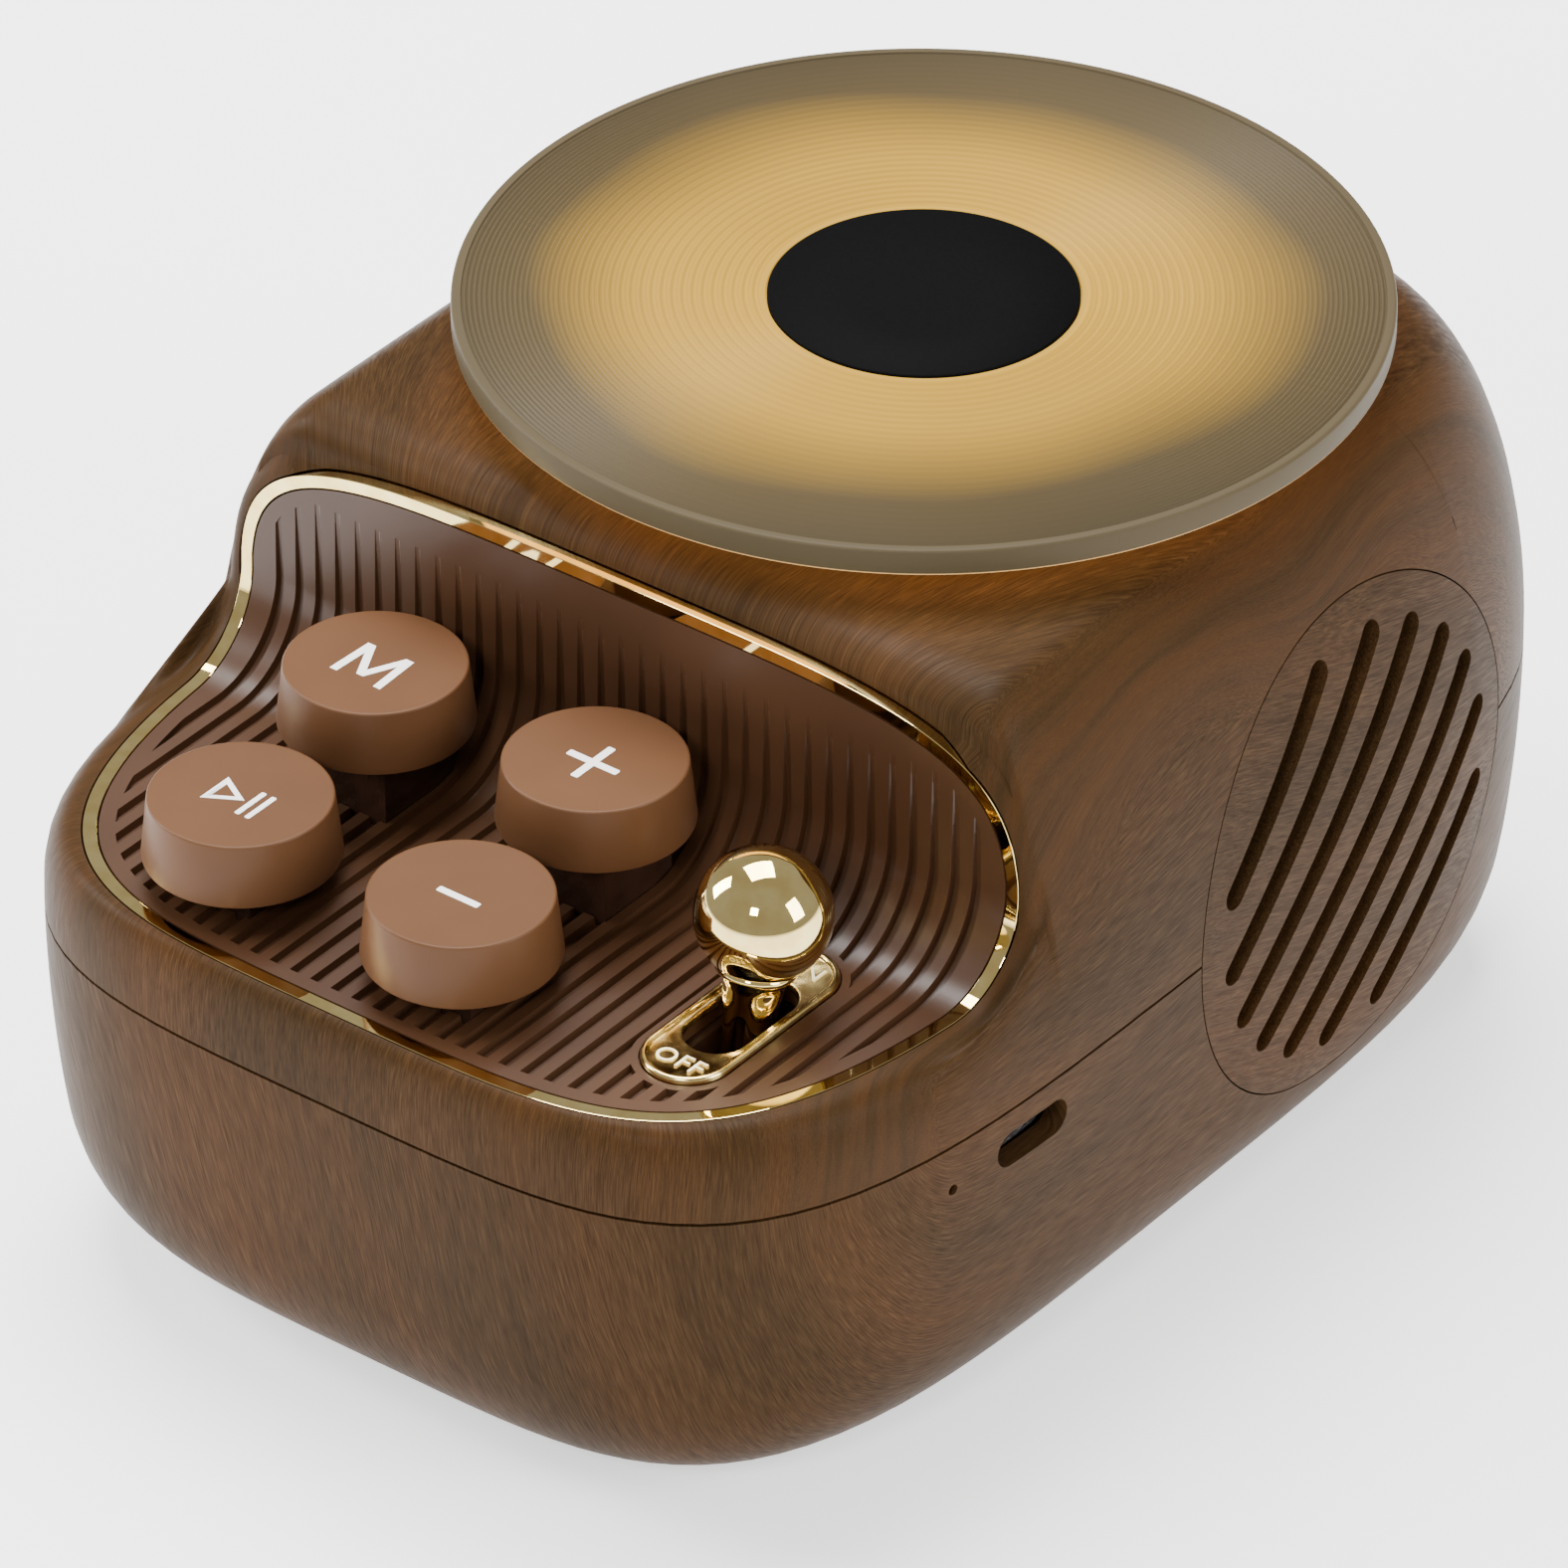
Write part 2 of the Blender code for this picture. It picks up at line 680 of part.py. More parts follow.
for key, column, row in KEYS:
    x = KEY_LEFT_X + KEY_PITCH_X * column
    y = KEY_FRONT_Y + KEY_PITCH_Y * row
    lift = KEY_ROW_RISE * row
    cap_top = CAP_TOP_Z + lift
    cap_low = cap_top - CAP_HEIGHT
    head = cap_low + 1.6 * MM
    tower = frustum("tower_" + key, (x, y), TOWER_BASE, TOWER_HEAD, board_top + GAP, head, TOWER)
    floor = board_top + 1.4 * MM + lift
    well = rod("well_" + key, STEM_RADIUS + GAP, floor, head + 2 * MM, 16, at=(x, y))
    cut(tower, well)
    wide, narrow = TOWER_BASE + 2 * FIT, TOWER_HEAD + 2 * FIT
    hole = frustum("hole_" + key, (x, y), wide, narrow, board_top, head + 4 * MM, cutter=True)
    cut(control_deck, hole)
    ceiling = cap_top - CAP_WALL - 0.5 * MM
    stem_low = floor + GAP + SPRING_LENGTH + GAP
    stem = turned(
        "stem_" + key,
        [
            (0, ceiling - GAP),
            (STEM_RADIUS - 0.3 * MM, ceiling - GAP),
            (STEM_RADIUS, ceiling - 0.8 * MM),
            (STEM_RADIUS, stem_low),
            (0, stem_low),
        ],
        16,
        TOWER,
        at=(x, y, 0),
    )
    coil("spring_" + key, (x, y), 1.6 * MM, 0.22 * MM, floor + GAP, floor + GAP + SPRING_LENGTH, 4, STEEL)
    skirt = CAP_SKIRT_RADIUS
    cap = turned(
        "keycap_" + key,
        [
            (0, cap_top),
            (CAP_TOP_RADIUS - 0.35 * MM, cap_top),
            (CAP_TOP_RADIUS, cap_top - 0.35 * MM),
            (skirt, cap_low + 0.2 * MM),
            (skirt - 0.2 * MM, cap_low),
            (skirt - CAP_WALL, cap_low),
            (CAP_TOP_RADIUS - CAP_WALL, ceiling),
            (0, ceiling),
        ],
        24,
        CAP,
        at=(x, y, 0),
    )

# ---- toggle -----------------------------------------------------------------------------------------

plate_low = DECK_Z + PLATE_PROUD - PLATE_THICK
plate_line = stadium(PLATE_LENGTH / 2, PLATE_WIDTH / 2, 12, (TOGGLE_X, TOGGLE_Y))
pocket_line = stadium(PLATE_LENGTH / 2 + FIT, PLATE_WIDTH / 2 + FIT, 12, (TOGGLE_X, TOGGLE_Y))
slot_line = stadium(SLOT_LENGTH / 2, SLOT_WIDTH / 2, 10, (TOGGLE_X, TOGGLE_Y))
slot_wide = stadium(SLOT_LENGTH / 2 + 0.3 * MM, SLOT_WIDTH / 2 + 0.3 * MM, 10, (TOGGLE_X, TOGGLE_Y))
pocket = prism("toggle_pocket", pocket_line, plate_low - FIT, DECK_Z + 5 * MM)
deck_slot = prism("toggle_deck_slot", slot_wide, DECK_Z - 8 * MM, DECK_Z + 4 * MM)
cut(control_deck, pocket, deck_slot)
toggle_plate = prism("toggle_plate", plate_line, plate_low, plate_low + PLATE_THICK, "Z", GOLD, False)
cut(toggle_plate, prism("toggle_slot", slot_line, DECK_Z - 8 * MM, DECK_Z + 4 * MM))

switch_top = DECK_Z - DECK_THICK - GAP
toggle_switch = box(
    "toggle_switch",
    (TOGGLE_X - 4.6 * MM, TOGGLE_Y - 8.0 * MM, 30.0 * MM),
    (TOGGLE_X + 4.6 * MM, TOGGLE_Y + 8.0 * MM, switch_top),
    TOWER,
    False,
)
switch_pit = box(
    "switch_pit",
    (TOGGLE_X - 2.6 * MM, TOGGLE_Y - 6.8 * MM, 32.5 * MM),
    (TOGGLE_X + 2.6 * MM, TOGGLE_Y + 6.8 * MM, switch_top + 3 * MM),
)
pin_radius = 0.8 * MM
pin_at = (TOGGLE_Y, TOGGLE_PIVOT_Z)
pin_path = rod("pin_path", pin_radius + FIT, TOGGLE_X - 3.9 * MM, TOGGLE_X + 3.9 * MM, 16, at=pin_at, tip="X")
cut(toggle_switch, switch_pit, pin_path)
rod("toggle_pin", pin_radius, TOGGLE_X - 3.7 * MM, TOGGLE_X + 3.7 * MM, 16, STEEL, False, pin_at, "X")

ball = []
for k in range(10):
    a = pi / 2 - (pi / 2 + radians(48)) * k / 9
    ball.append((BALL_RADIUS * cos(a), TOGGLE_LENGTH + BALL_RADIUS * sin(a)))
ball[0] = (0.0, TOGGLE_LENGTH + BALL_RADIUS)
lever_profile = ball + [
    (3.9 * MM, 11.0 * MM),
    (4.0 * MM, 10.6 * MM),
    (3.0 * MM, 9.9 * MM),
    (2.7 * MM, 9.6 * MM),
    (1.7 * MM, 6.4 * MM),
    (1.6 * MM, 2.6 * MM),
    (2.1 * MM, 1.4 * MM),
    (2.1 * MM, -1.4 * MM),
    (1.3 * MM, -2.4 * MM),
    (1.1 * MM, -4.2 * MM),
    (0.0, -4.2 * MM),
]
toggle_lever = turned("toggle_lever", lever_profile, 20, GOLD)
eye = rod("lever_eye", pin_radius + FIT, -6 * MM, 6 * MM, 16, at=(0.0, 0.0), tip="X")
cut(toggle_lever, eye)
for vert in toggle_lever.data.vertices:
    vert.co = Matrix.Rotation(-TOGGLE_TILT, 4, "X") @ vert.co
toggle_lever.location = (TOGGLE_X, TOGGLE_Y, TOGGLE_PIVOT_Z)

# ---- grilles ----------------------------------------------------------------------------------------


def grille(name, side):
    """One round grille: a piece of the outer skin with a skirt behind it and a row of slanting slots."""
    body = rod(name, GRILLE_RADIUS - FIT, 30 * MM, 60 * MM, 48, WOOD, False, (GRILLE_Y, GRILLE_Z), "X")
    keep(body, form_out)
    rim_inner = GRILLE_RADIUS - 2.0 * MM
    hollow = rod("hollow_" + name, rim_inner, 25 * MM, 60 * MM, 40, at=(GRILLE_Y, GRILLE_Z), tip="X")
    keep(hollow, form_in)
    back = box("back_" + name, (20 * MM, -20 * MM, 0), (GRILLE_SKIRT_X, 60 * MM, 80 * MM))
    cut(body, hollow, back)
    slot_circle = GRILLE_RADIUS - GRILLE_SLOT_MARGIN
    last = int(sqrt(slot_circle**2 - (GRILLE_SHORTEST_SLOT / 2) ** 2) / GRILLE_PITCH)
    for k in range(-last, last + 1):
        off = k * GRILLE_PITCH
        reach = sqrt(slot_circle**2 - off**2)
        line = []
        for u, v in stadium(reach, GRILLE_SLOT_WIDTH / 2, 5):
            u += off
            turn = GRILLE_ANGLE - pi / 2
            line.append((GRILLE_Y + u * cos(turn) - v * sin(turn), GRILLE_Z + u * sin(turn) + v * cos(turn)))
        cut(body, prism(f"slot_{name}_{k}", line, 35 * MM, 60 * MM, "X"))
    if side < 0:
        for vert in body.data.vertices:
            vert.co.x = -vert.co.x
        body.data.flip_normals()
    return body


port_right = rod("port_right", GRILLE_RADIUS, 30 * MM, 60 * MM, 48, at=(GRILLE_Y, GRILLE_Z), tip="X")
port_left = rod("port_left", GRILLE_RADIUS, -60 * MM, -30 * MM, 48, at=(GRILLE_Y, GRILLE_Z), tip="X")
cut(upper_shell, port_right, port_left)
cut(lower_shell, port_right, port_left)
grille("grille_right", 1)
grille("grille_left", -1)

# ---- lamp, drive and disc ---------------------------------------------------------------------------

flange_top = TOP_Z - 0.2 * MM
flange_low = flange_top - 1.3 * MM
tray_floor = TOP_Z - TRAY_DEPTH
well_cut = rod("lamp_well", TRAY_RADIUS + GAP, 50 * MM, 90 * MM, 48, at=(0, DISC_Y))
rebate_radius = TRAY_RADIUS + TRAY_FLANGE + FIT
well_rebate = rod("lamp_rebate", rebate_radius, flange_low - GAP, 90 * MM, 48, at=(0, DISC_Y))
cut(upper_shell, well_cut, well_rebate)
bore = 6.0 * MM
turned(
    "lamp_tray",
    [
        (TRAY_RADIUS + TRAY_FLANGE, flange_top),
        (TRAY_RADIUS + TRAY_FLANGE, flange_low),
        (TRAY_RADIUS, flange_low),
        (TRAY_RADIUS, tray_floor),
        (bore, tray_floor),
        (bore, tray_floor + TRAY_WALL),
        (TRAY_RADIUS - 2 * TRAY_WALL, tray_floor + TRAY_WALL),
        (TRAY_RADIUS - 2 * TRAY_WALL, flange_top - 2.2 * MM),
        (TRAY_RADIUS - TRAY_WALL, flange_top - 2.2 * MM),
        (TRAY_RADIUS - TRAY_WALL, flange_top),
    ],
    28,
    WHITE,
    at=(0, DISC_Y, 0),
)
turned(
    "lamp_diffuser",
    [
        (TRAY_RADIUS - TRAY_WALL - GAP, flange_top),
        (TRAY_RADIUS - TRAY_WALL - GAP, flange_top - 1.9 * MM),
        (bore, flange_top - 1.9 * MM),
        (bore, flange_top),
    ],
    28,
    AMBER,
    at=(0, DISC_Y, 0),
)
led_low = tray_floor + TRAY_WALL + GAP
led_board = turned(
    "led_board",
    [
        (TRAY_RADIUS - 2 * TRAY_WALL - GAP, led_low + BOARD_THICK),
        (TRAY_RADIUS - 2 * TRAY_WALL - GAP, led_low),
        (bore + 2 * MM, led_low),
        (bore + 2 * MM, led_low + BOARD_THICK),
    ],
    32,
    BOARD,
    at=(0, DISC_Y, 0),
)
for k in range(8):
    a = 2 * pi * k / 8
    cx, cy = 19 * MM * cos(a), DISC_Y + 19 * MM * sin(a)
    low, high = led_low + 1.0 * MM, led_low + BOARD_THICK + 0.9 * MM
    led = box(f"led_{k}", (cx - 1.6 * MM, cy - 1.6 * MM, low), (cx + 1.6 * MM, cy + 1.6 * MM, high))
    join(led_board, led)

motor_top = tray_floor - GAP
turned(
    "motor_body",
    [
        (0, motor_top - 8.5 * MM),
        (SHAFT_RADIUS + GAP, motor_top - 8.5 * MM),
        (SHAFT_RADIUS + GAP, motor_top),
        (4.0 * MM, motor_top),
        (4.0 * MM, motor_top - 1.5 * MM),
        (MOTOR_RADIUS - 0.6 * MM, motor_top - 1.5 * MM),
        (MOTOR_RADIUS, motor_top - 2.1 * MM),
        (MOTOR_RADIUS, motor_top - MOTOR_HEIGHT),
        (0, motor_top - MOTOR_HEIGHT),
    ],
    24,
    STEEL,
    at=(0, DISC_Y, 0),
)
disc_low = DISC_TOP_Z - DISC_THICK
shaft_top = disc_low + 0.6 * MM
rod("motor_shaft", SHAFT_RADIUS, motor_top - 8.2 * MM, shaft_top, 20, STEEL, False, (0, DISC_Y))
hub_top = disc_low - GAP
turned(
    "disc_hub",
    [
        (0, shaft_top + GAP),
        (SHAFT_RADIUS + FIT, shaft_top + GAP),
        (SHAFT_RADIUS + FIT, hub_top - 9.0 * MM),
        (4.0 * MM, hub_top - 9.0 * MM),
        (4.0 * MM, hub_top - 2.6 * MM),
        (HUB_RADIUS, hub_top - 1.4 * MM),
        (HUB_RADIUS, hub_top),
        (4.0 * MM, hub_top),
        (4.0 * MM, DISC_TOP_Z - LABEL_THICK - 2 * GAP),
        (0, DISC_TOP_Z - LABEL_THICK - 2 * GAP),
    ],
    20,
    STEEL,
    at=(0, DISC_Y, 0),
)
label_seat = DISC_TOP_Z - LABEL_THICK - GAP
turned(
    "record_disc",
    [
        (LABEL_RADIUS + FIT, DISC_TOP_Z),
        (DISC_RADIUS - 0.6 * MM, DISC_TOP_Z),
        (DISC_RADIUS, DISC_TOP_Z - 0.6 * MM),
        (DISC_RADIUS, disc_low + 0.8 * MM),
        (DISC_RADIUS - 0.8 * MM, disc_low),
        (4.0 * MM + FIT, disc_low),
        (4.0 * MM + FIT, label_seat),
        (LABEL_RADIUS + FIT, label_seat),
    ],
    48,
    AMBER,
    at=(0, DISC_Y, 0),
)
turned(
    "disc_label",
    [
        (0, DISC_TOP_Z),
        (LABEL_RADIUS, DISC_TOP_Z),
        (LABEL_RADIUS, DISC_TOP_Z - LABEL_THICK),
        (0, DISC_TOP_Z - LABEL_THICK),
    ],
    36,
    BLACK,
    at=(0, DISC_Y, 0),
)

# ---- driver (right) and passive radiator (left) -----------------------------------------------------

flange_x = GRILLE_SKIRT_X - GAP
flange_back = flange_x - DRIVER_FLANGE_THICK
flange = GRILLE_RADIUS - DRIVER_CLEARANCE
cone_mouth = flange - DRIVER_FLANGE_WIDTH
axis = (0.0, GRILLE_Y, GRILLE_Z)
turned(
    "driver_basket",
    [
        (flange, flange_x),
        (flange, flange_back),
        (cone_mouth + 0.2 * MM, flange_back),
        (15.5 * MM, 29.5 * MM),
        (15.5 * MM, 27.5 * MM),
        (8.0 * MM, 27.5 * MM),
        (8.0 * MM, 28.9 * MM),
        (14.2 * MM, 28.9 * MM),
        (14.2 * MM, 30.0 * MM),
        (cone_mouth - 1.0 * MM, flange_back + 0.6 * MM),
        (cone_mouth, flange_back + 0.6 * MM),
        (cone_mouth, flange_x),
    ],
    20,
    STEEL,
    at=axis,
    tip="X",
)
turned(
    "driver_magnet",
    [
        (0, 27.2 * MM),
        (13.0 * MM, 27.2 * MM),
        (13.0 * MM, 20.6 * MM),
        (12.4 * MM, 20.0 * MM),
        (0, 20.0 * MM),
    ],
    24,
    STEEL,
    at=axis,
    tip="X",
)
turned(
    "driver_surround",
    [
        (cone_mouth - 0.2 * MM, flange_x - 0.1 * MM),
        (cone_mouth - 0.2 * MM, flange_x - 0.7 * MM),
        (cone_mouth - 2.2 * MM, flange_x - 0.7 * MM),
        (cone_mouth - 3.2 * MM, flange_x + 0.3 * MM),
        (cone_mouth - 4.4 * MM, flange_x - 0.7 * MM),
        (cone_mouth - 5.2 * MM, flange_x - 0.7 * MM),
        (cone_mouth - 5.2 * MM, flange_x - 0.1 * MM),
        (cone_mouth - 4.6 * MM, flange_x - 0.1 * MM),
        (cone_mouth - 3.2 * MM, flange_x + 1.0 * MM),
        (cone_mouth - 2.0 * MM, flange_x - 0.1 * MM),
    ],
    20,
    RUBBER,
    at=axis,
    tip="X",
)
turned(
    "driver_cone",
    [
        (0, 36.6 * MM),
        (3.5 * MM, 36.0 * MM),
        (6.2 * MM, 34.2 * MM),
        (cone_mouth - 5.5 * MM, flange_x - 0.1 * MM),
        (cone_mouth - 5.5 * MM, flange_x - 1.0 * MM),
        (7.0 * MM, 33.0 * MM),
        (7.0 * MM, 29.4 * MM),
        (6.2 * MM, 29.4 * MM),
        (6.2 * MM, 33.2 * MM),
        (0, 34.6 * MM),
    ],
    20,
    CONE,
    at=axis,
    tip="X",
)
turned(
    "radiator_frame",
    [
        (flange, flange_x),
        (flange, flange_back),
        (cone_mouth, flange_back),
        (cone_mouth, flange_x),
    ],
    20,
    STEEL,
    at=axis,
    tip="-X",
)
turned(
    "radiator_surround",
    [
        (cone_mouth - 0.2 * MM, flange_x - 0.1 * MM),
        (cone_mouth - 0.2 * MM, flange_x - 0.7 * MM),
        (cone_mouth - 2.2 * MM, flange_x - 0.7 * MM),
        (cone_mouth - 3.4 * MM, flange_x + 0.3 * MM),
        (cone_mouth - 4.8 * MM, flange_x - 0.7 * MM),
        (cone_mouth - 5.8 * MM, flange_x - 0.7 * MM),
        (cone_mouth - 5.8 * MM, flange_x - 0.1 * MM),
        (cone_mouth - 5.0 * MM, flange_x - 0.1 * MM),
        (cone_mouth - 3.4 * MM, flange_x + 1.0 * MM),
        (cone_mouth - 2.0 * MM, flange_x - 0.1 * MM),
    ],
    20,
    RUBBER,
    at=axis,
    tip="-X",
)
turned(
    "radiator_mass",
    [
        (0, flange_x - 0.2 * MM),
        (cone_mouth - 6.1 * MM, flange_x - 0.2 * MM),
        (cone_mouth - 6.1 * MM, flange_x - 2.2 * MM),
        (cone_mouth - 6.7 * MM, flange_x - 2.8 * MM),
        (0, flange_x - 2.8 * MM),
    ],
    24,
    CONE,
    at=axis,
    tip="-X",
)

# ---- boards, battery, socket and microphone ---------------------------------------------------------

key_board = box(
    "key_board",
    (-32.5 * MM, -60.8 * MM, KEY_BOARD_Z),
    (11.8 * MM, -29.0 * MM, board_top),
    BOARD,
    False,
)
post_at = (-SCREW_FRONT[0], SCREW_FRONT[1])
cut(key_board, rod("key_board_hole", POST_RADIUS + GAP, 30 * MM, 40 * MM, 16, at=post_at))
main_low = INNER_FLOOR_Z + 3.4 * MM
main_board = box(
    "main_board",
    (-33.0 * MM, -6.0 * MM, main_low),
    (33.0 * MM, 38.0 * MM, main_low + BOARD_THICK),
    BOARD,
    False,
)
CHIPS = ((-14, 8, 5, 5, 1.2), (8, 22, 4, 4, 1.0), (20, 4, 3, 6, 5.0), (-22, 28, 6, 3, 4.0))
for k, (cx, cy, w, d, h) in enumerate(CHIPS):
    chip = box(
        f"chip_{k}",
        ((cx - w) * MM, (cy - d) * MM, main_low + 0.8 * MM),
        ((cx + w) * MM, (cy + d) * MM, main_low + BOARD_THICK + h * MM),
    )
    join(main_board, chip)
battery_z = INNER_FLOOR_Z + GAP + BATTERY_RADIUS
turned(
    "battery_cell",
    [
        (0, BATTERY_LENGTH / 2),
        (3.0 * MM, BATTERY_LENGTH / 2),
        (3.0 * MM, BATTERY_LENGTH / 2 - 0.8 * MM),
        (BATTERY_RADIUS - 0.6 * MM, BATTERY_LENGTH / 2 - 0.8 * MM),
        (BATTERY_RADIUS, BATTERY_LENGTH / 2 - 1.4 * MM),
        (BATTERY_RADIUS, -BATTERY_LENGTH / 2 + 0.5 * MM),
        (BATTERY_RADIUS - 0.5 * MM, -BATTERY_LENGTH / 2),
        (0, -BATTERY_LENGTH / 2),
    ],
    28,
    CELL,
    at=(0, BATTERY_Y, battery_z),
    tip="X",
)
socket_half_height = 1.6 * MM
charge_top = SOCKET_Z - socket_half_height - GAP
charge_board = box(
    "charge_board",
    (31.0 * MM, -41.5 * MM, charge_top - BOARD_THICK),
    (43.8 * MM, -17.0 * MM, charge_top),
    BOARD,
    False,
)
mouth_x = BODY_HALF_WIDTH - WALL - 0.6 * MM
socket_outer = stadium(4.47 * MM, socket_half_height, 6, (0.0, 0.0))
socket_inner = stadium(4.17 * MM, socket_half_height - 0.3 * MM, 6, (0.0, 0.0))


def lying(line):
    """A slot outline laid along Y at the socket's height."""
    return [(SOCKET_Y + v, SOCKET_Z + u) for u, v in line]


usb_socket = prism("usb_socket", lying(socket_outer), mouth_x - 7.3 * MM, mouth_x, "X", STEEL, False)
usb_hollow = prism("usb_hollow", lying(socket_inner), mouth_x - 6.4 * MM, mouth_x + 1 * MM, "X")
cut(usb_socket, usb_hollow)
tongue = box(
    "usb_tongue",
    (mouth_x - 6.9 * MM, SOCKET_Y - 3.3 * MM, SOCKET_Z - 0.35 * MM),
    (mouth_x - 1.2 * MM, SOCKET_Y + 3.3 * MM, SOCKET_Z + 0.35 * MM),
)
join(usb_socket, tongue)
mouth = stadium(SOCKET_LENGTH / 2, SOCKET_HEIGHT / 2, 8, (0.0, 0.0))
cut(lower_shell, prism("socket_mouth", lying(mouth), 30 * MM, 60 * MM, "X"))
cut(lower_shell, rod("pin_hole", PIN_RADIUS, 30 * MM, 60 * MM, 10, at=(PIN_Y, PIN_Z), tip="X"))
mic_at = (PIN_Y, charge_top + GAP + 2.0 * MM)
rod("mic_capsule", 2.0 * MM, 41.2 * MM, 43.6 * MM, 16, STEEL, False, mic_at, "X")

# ---- posts, bosses, screws and feet -----------------------------------------------------------------

posts = []
for sx in (-1, 1):
    for spot in (SCREW_FRONT, SCREW_REAR):
        posts.append((sx * spot[0], spot[1]))
post_top = board_top
for k, (x, y) in enumerate(posts):
    join(lower_shell, rod(f"post_{k}", POST_RADIUS, BOTTOM_Z + 1.0 * MM, post_top, 14, at=(x, y)))
for k, (x, y) in enumerate(((29, -2), (-29, -2), (29, 34), (-29, 34))):
    standoff = rod(f"standoff_{k}", 2.2 * MM, BOTTOM_Z + 1.0 * MM, main_low - GAP, 12, at=(x * MM, y * MM))
    join(lower_shell, standoff)
for k, (x, y) in enumerate(((37, -38.5), (37, -20))):
    prop = rod(f"prop_{k}", 2.2 * MM, 2.8 * MM, charge_top - BOARD_THICK - GAP, 12, at=(x * MM, y * MM))
    boolean(lower_shell, prop, "UNION", "MANIFOLD")
for k, x in enumerate((-24, 24)):
    cradle = box(
        f"cradle_{k}",
        ((x - 1.2) * MM, BATTERY_Y - BATTERY_RADIUS - 2.5 * MM, BOTTOM_Z + 1.0 * MM),
        ((x + 1.2) * MM, BATTERY_Y + BATTERY_RADIUS + 2.5 * MM, battery_z - 1.0 * MM),
    )
    battery_at = (BATTERY_Y, battery_z)
    trough = rod(f"trough_{k}", BATTERY_RADIUS + GAP, -40 * MM, 40 * MM, 28, at=battery_at, tip="X")
    cut(cradle, trough)
    join(lower_shell, cradle)
for k, (x, y) in enumerate(posts):
    join_low = post_top + GAP
    if y < 0:
        boss = rod(f"boss_{k}", BOSS_RADIUS, join_low, DECK_Z - 1.0 * MM, 14, at=(x, y))
        join(control_deck, boss)
        pilot = rod(f"pilot_{k}", SCREW_RADIUS + FIT, join_low - 1 * MM, DECK_Z - DECK_THICK, 12, at=(x, y))
        cut(control_deck, pilot)
    else:
        boss = rod(f"boss_{k}", BOSS_RADIUS, join_low, TOP_Z - 2.0 * MM, 14, at=(x, y))
        join(upper_shell, boss)
        cut(upper_shell, rod(f"pilot_{k}", SCREW_RADIUS + FIT, join_low - 1 * MM, 44 * MM, 12, at=(x, y)))
    cut(lower_shell, rod(f"screw_way_{k}", SCREW_RADIUS + 2 * GAP, -1 * MM, 40 * MM, 12, at=(x, y)))
    cut(lower_shell, rod(f"counterbore_{k}", SCREW_HEAD_RADIUS + GAP, -1 * MM, 7.0 * MM, 16, at=(x, y)))
    tip_z = DECK_Z - DECK_THICK - GAP if y < 0 else 43.7 * MM
    head = 6.7 * MM
    turned(
        f"case_screw_{k}",
        [
            (0, tip_z),
            (SCREW_RADIUS, tip_z - 0.8 * MM),
            (SCREW_RADIUS, head),
            (SCREW_HEAD_RADIUS, head),
            (SCREW_HEAD_RADIUS, head - 1.6 * MM),
            (0, head - 1.6 * MM),
        ],
        14,
        STEEL,
        at=(x, y, 0),
    )
for k, (x, y) in enumerate(((-31.3, -46), (-8.2, -60), (-8.2, -31.5))):
    peg = rod(f"peg_{k}", 1.8 * MM, board_top + GAP, DECK_Z - 1.0 * MM, 12, at=(x * MM, y * MM))
    join(control_deck, peg)
for k, (sx, sy) in enumerate(((-1, -1), (1, -1), (-1, 1), (1, 1))):
    spot = (sx * FOOT_X, sy * FOOT_Y)
    cut(lower_shell, rod(f"foot_seat_{k}", FOOT_RADIUS + FIT, -1 * MM, FOOT_HEIGHT + GAP, 20, at=spot))
    turned(
        f"foot_{k}",
        [
            (0, FOOT_HEIGHT),
            (FOOT_RADIUS, FOOT_HEIGHT),
            (FOOT_RADIUS, 0.3 * MM),
            (FOOT_RADIUS - 0.3 * MM, 0),
            (0, 0),
        ],
        24,
        RUBBER,
        at=(spot[0], spot[1], 0),
    )

# ---- origins: each moving piece turns or slides about its own origin --------------------------------


def centre_on(name, x, y):
    """Moves a piece's origin to the axis it moves along, leaving the piece where it stands."""
    obj = parts.objects[name]
    obj.data.transform(Matrix.Translation((-x, -y, 0)))
    obj.location = (x, y, 0)


for name in ("record_disc", "disc_label", "disc_hub", "motor_shaft"):
    centre_on(name, 0, DISC_Y)
for key, column, row in KEYS:
    for name in (f"keycap_{key}", f"stem_{key}"):
        centre_on(name, KEY_LEFT_X + column * KEY_PITCH_X, KEY_FRONT_Y + row * KEY_PITCH_Y)

for obj in parts.objects:
    if obj.type == "MESH":
        smooth(obj, 32)
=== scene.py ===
import json
from math import cos, pi, radians, sin, sqrt

import bmesh
import bpy
from mathutils import Matrix, Vector

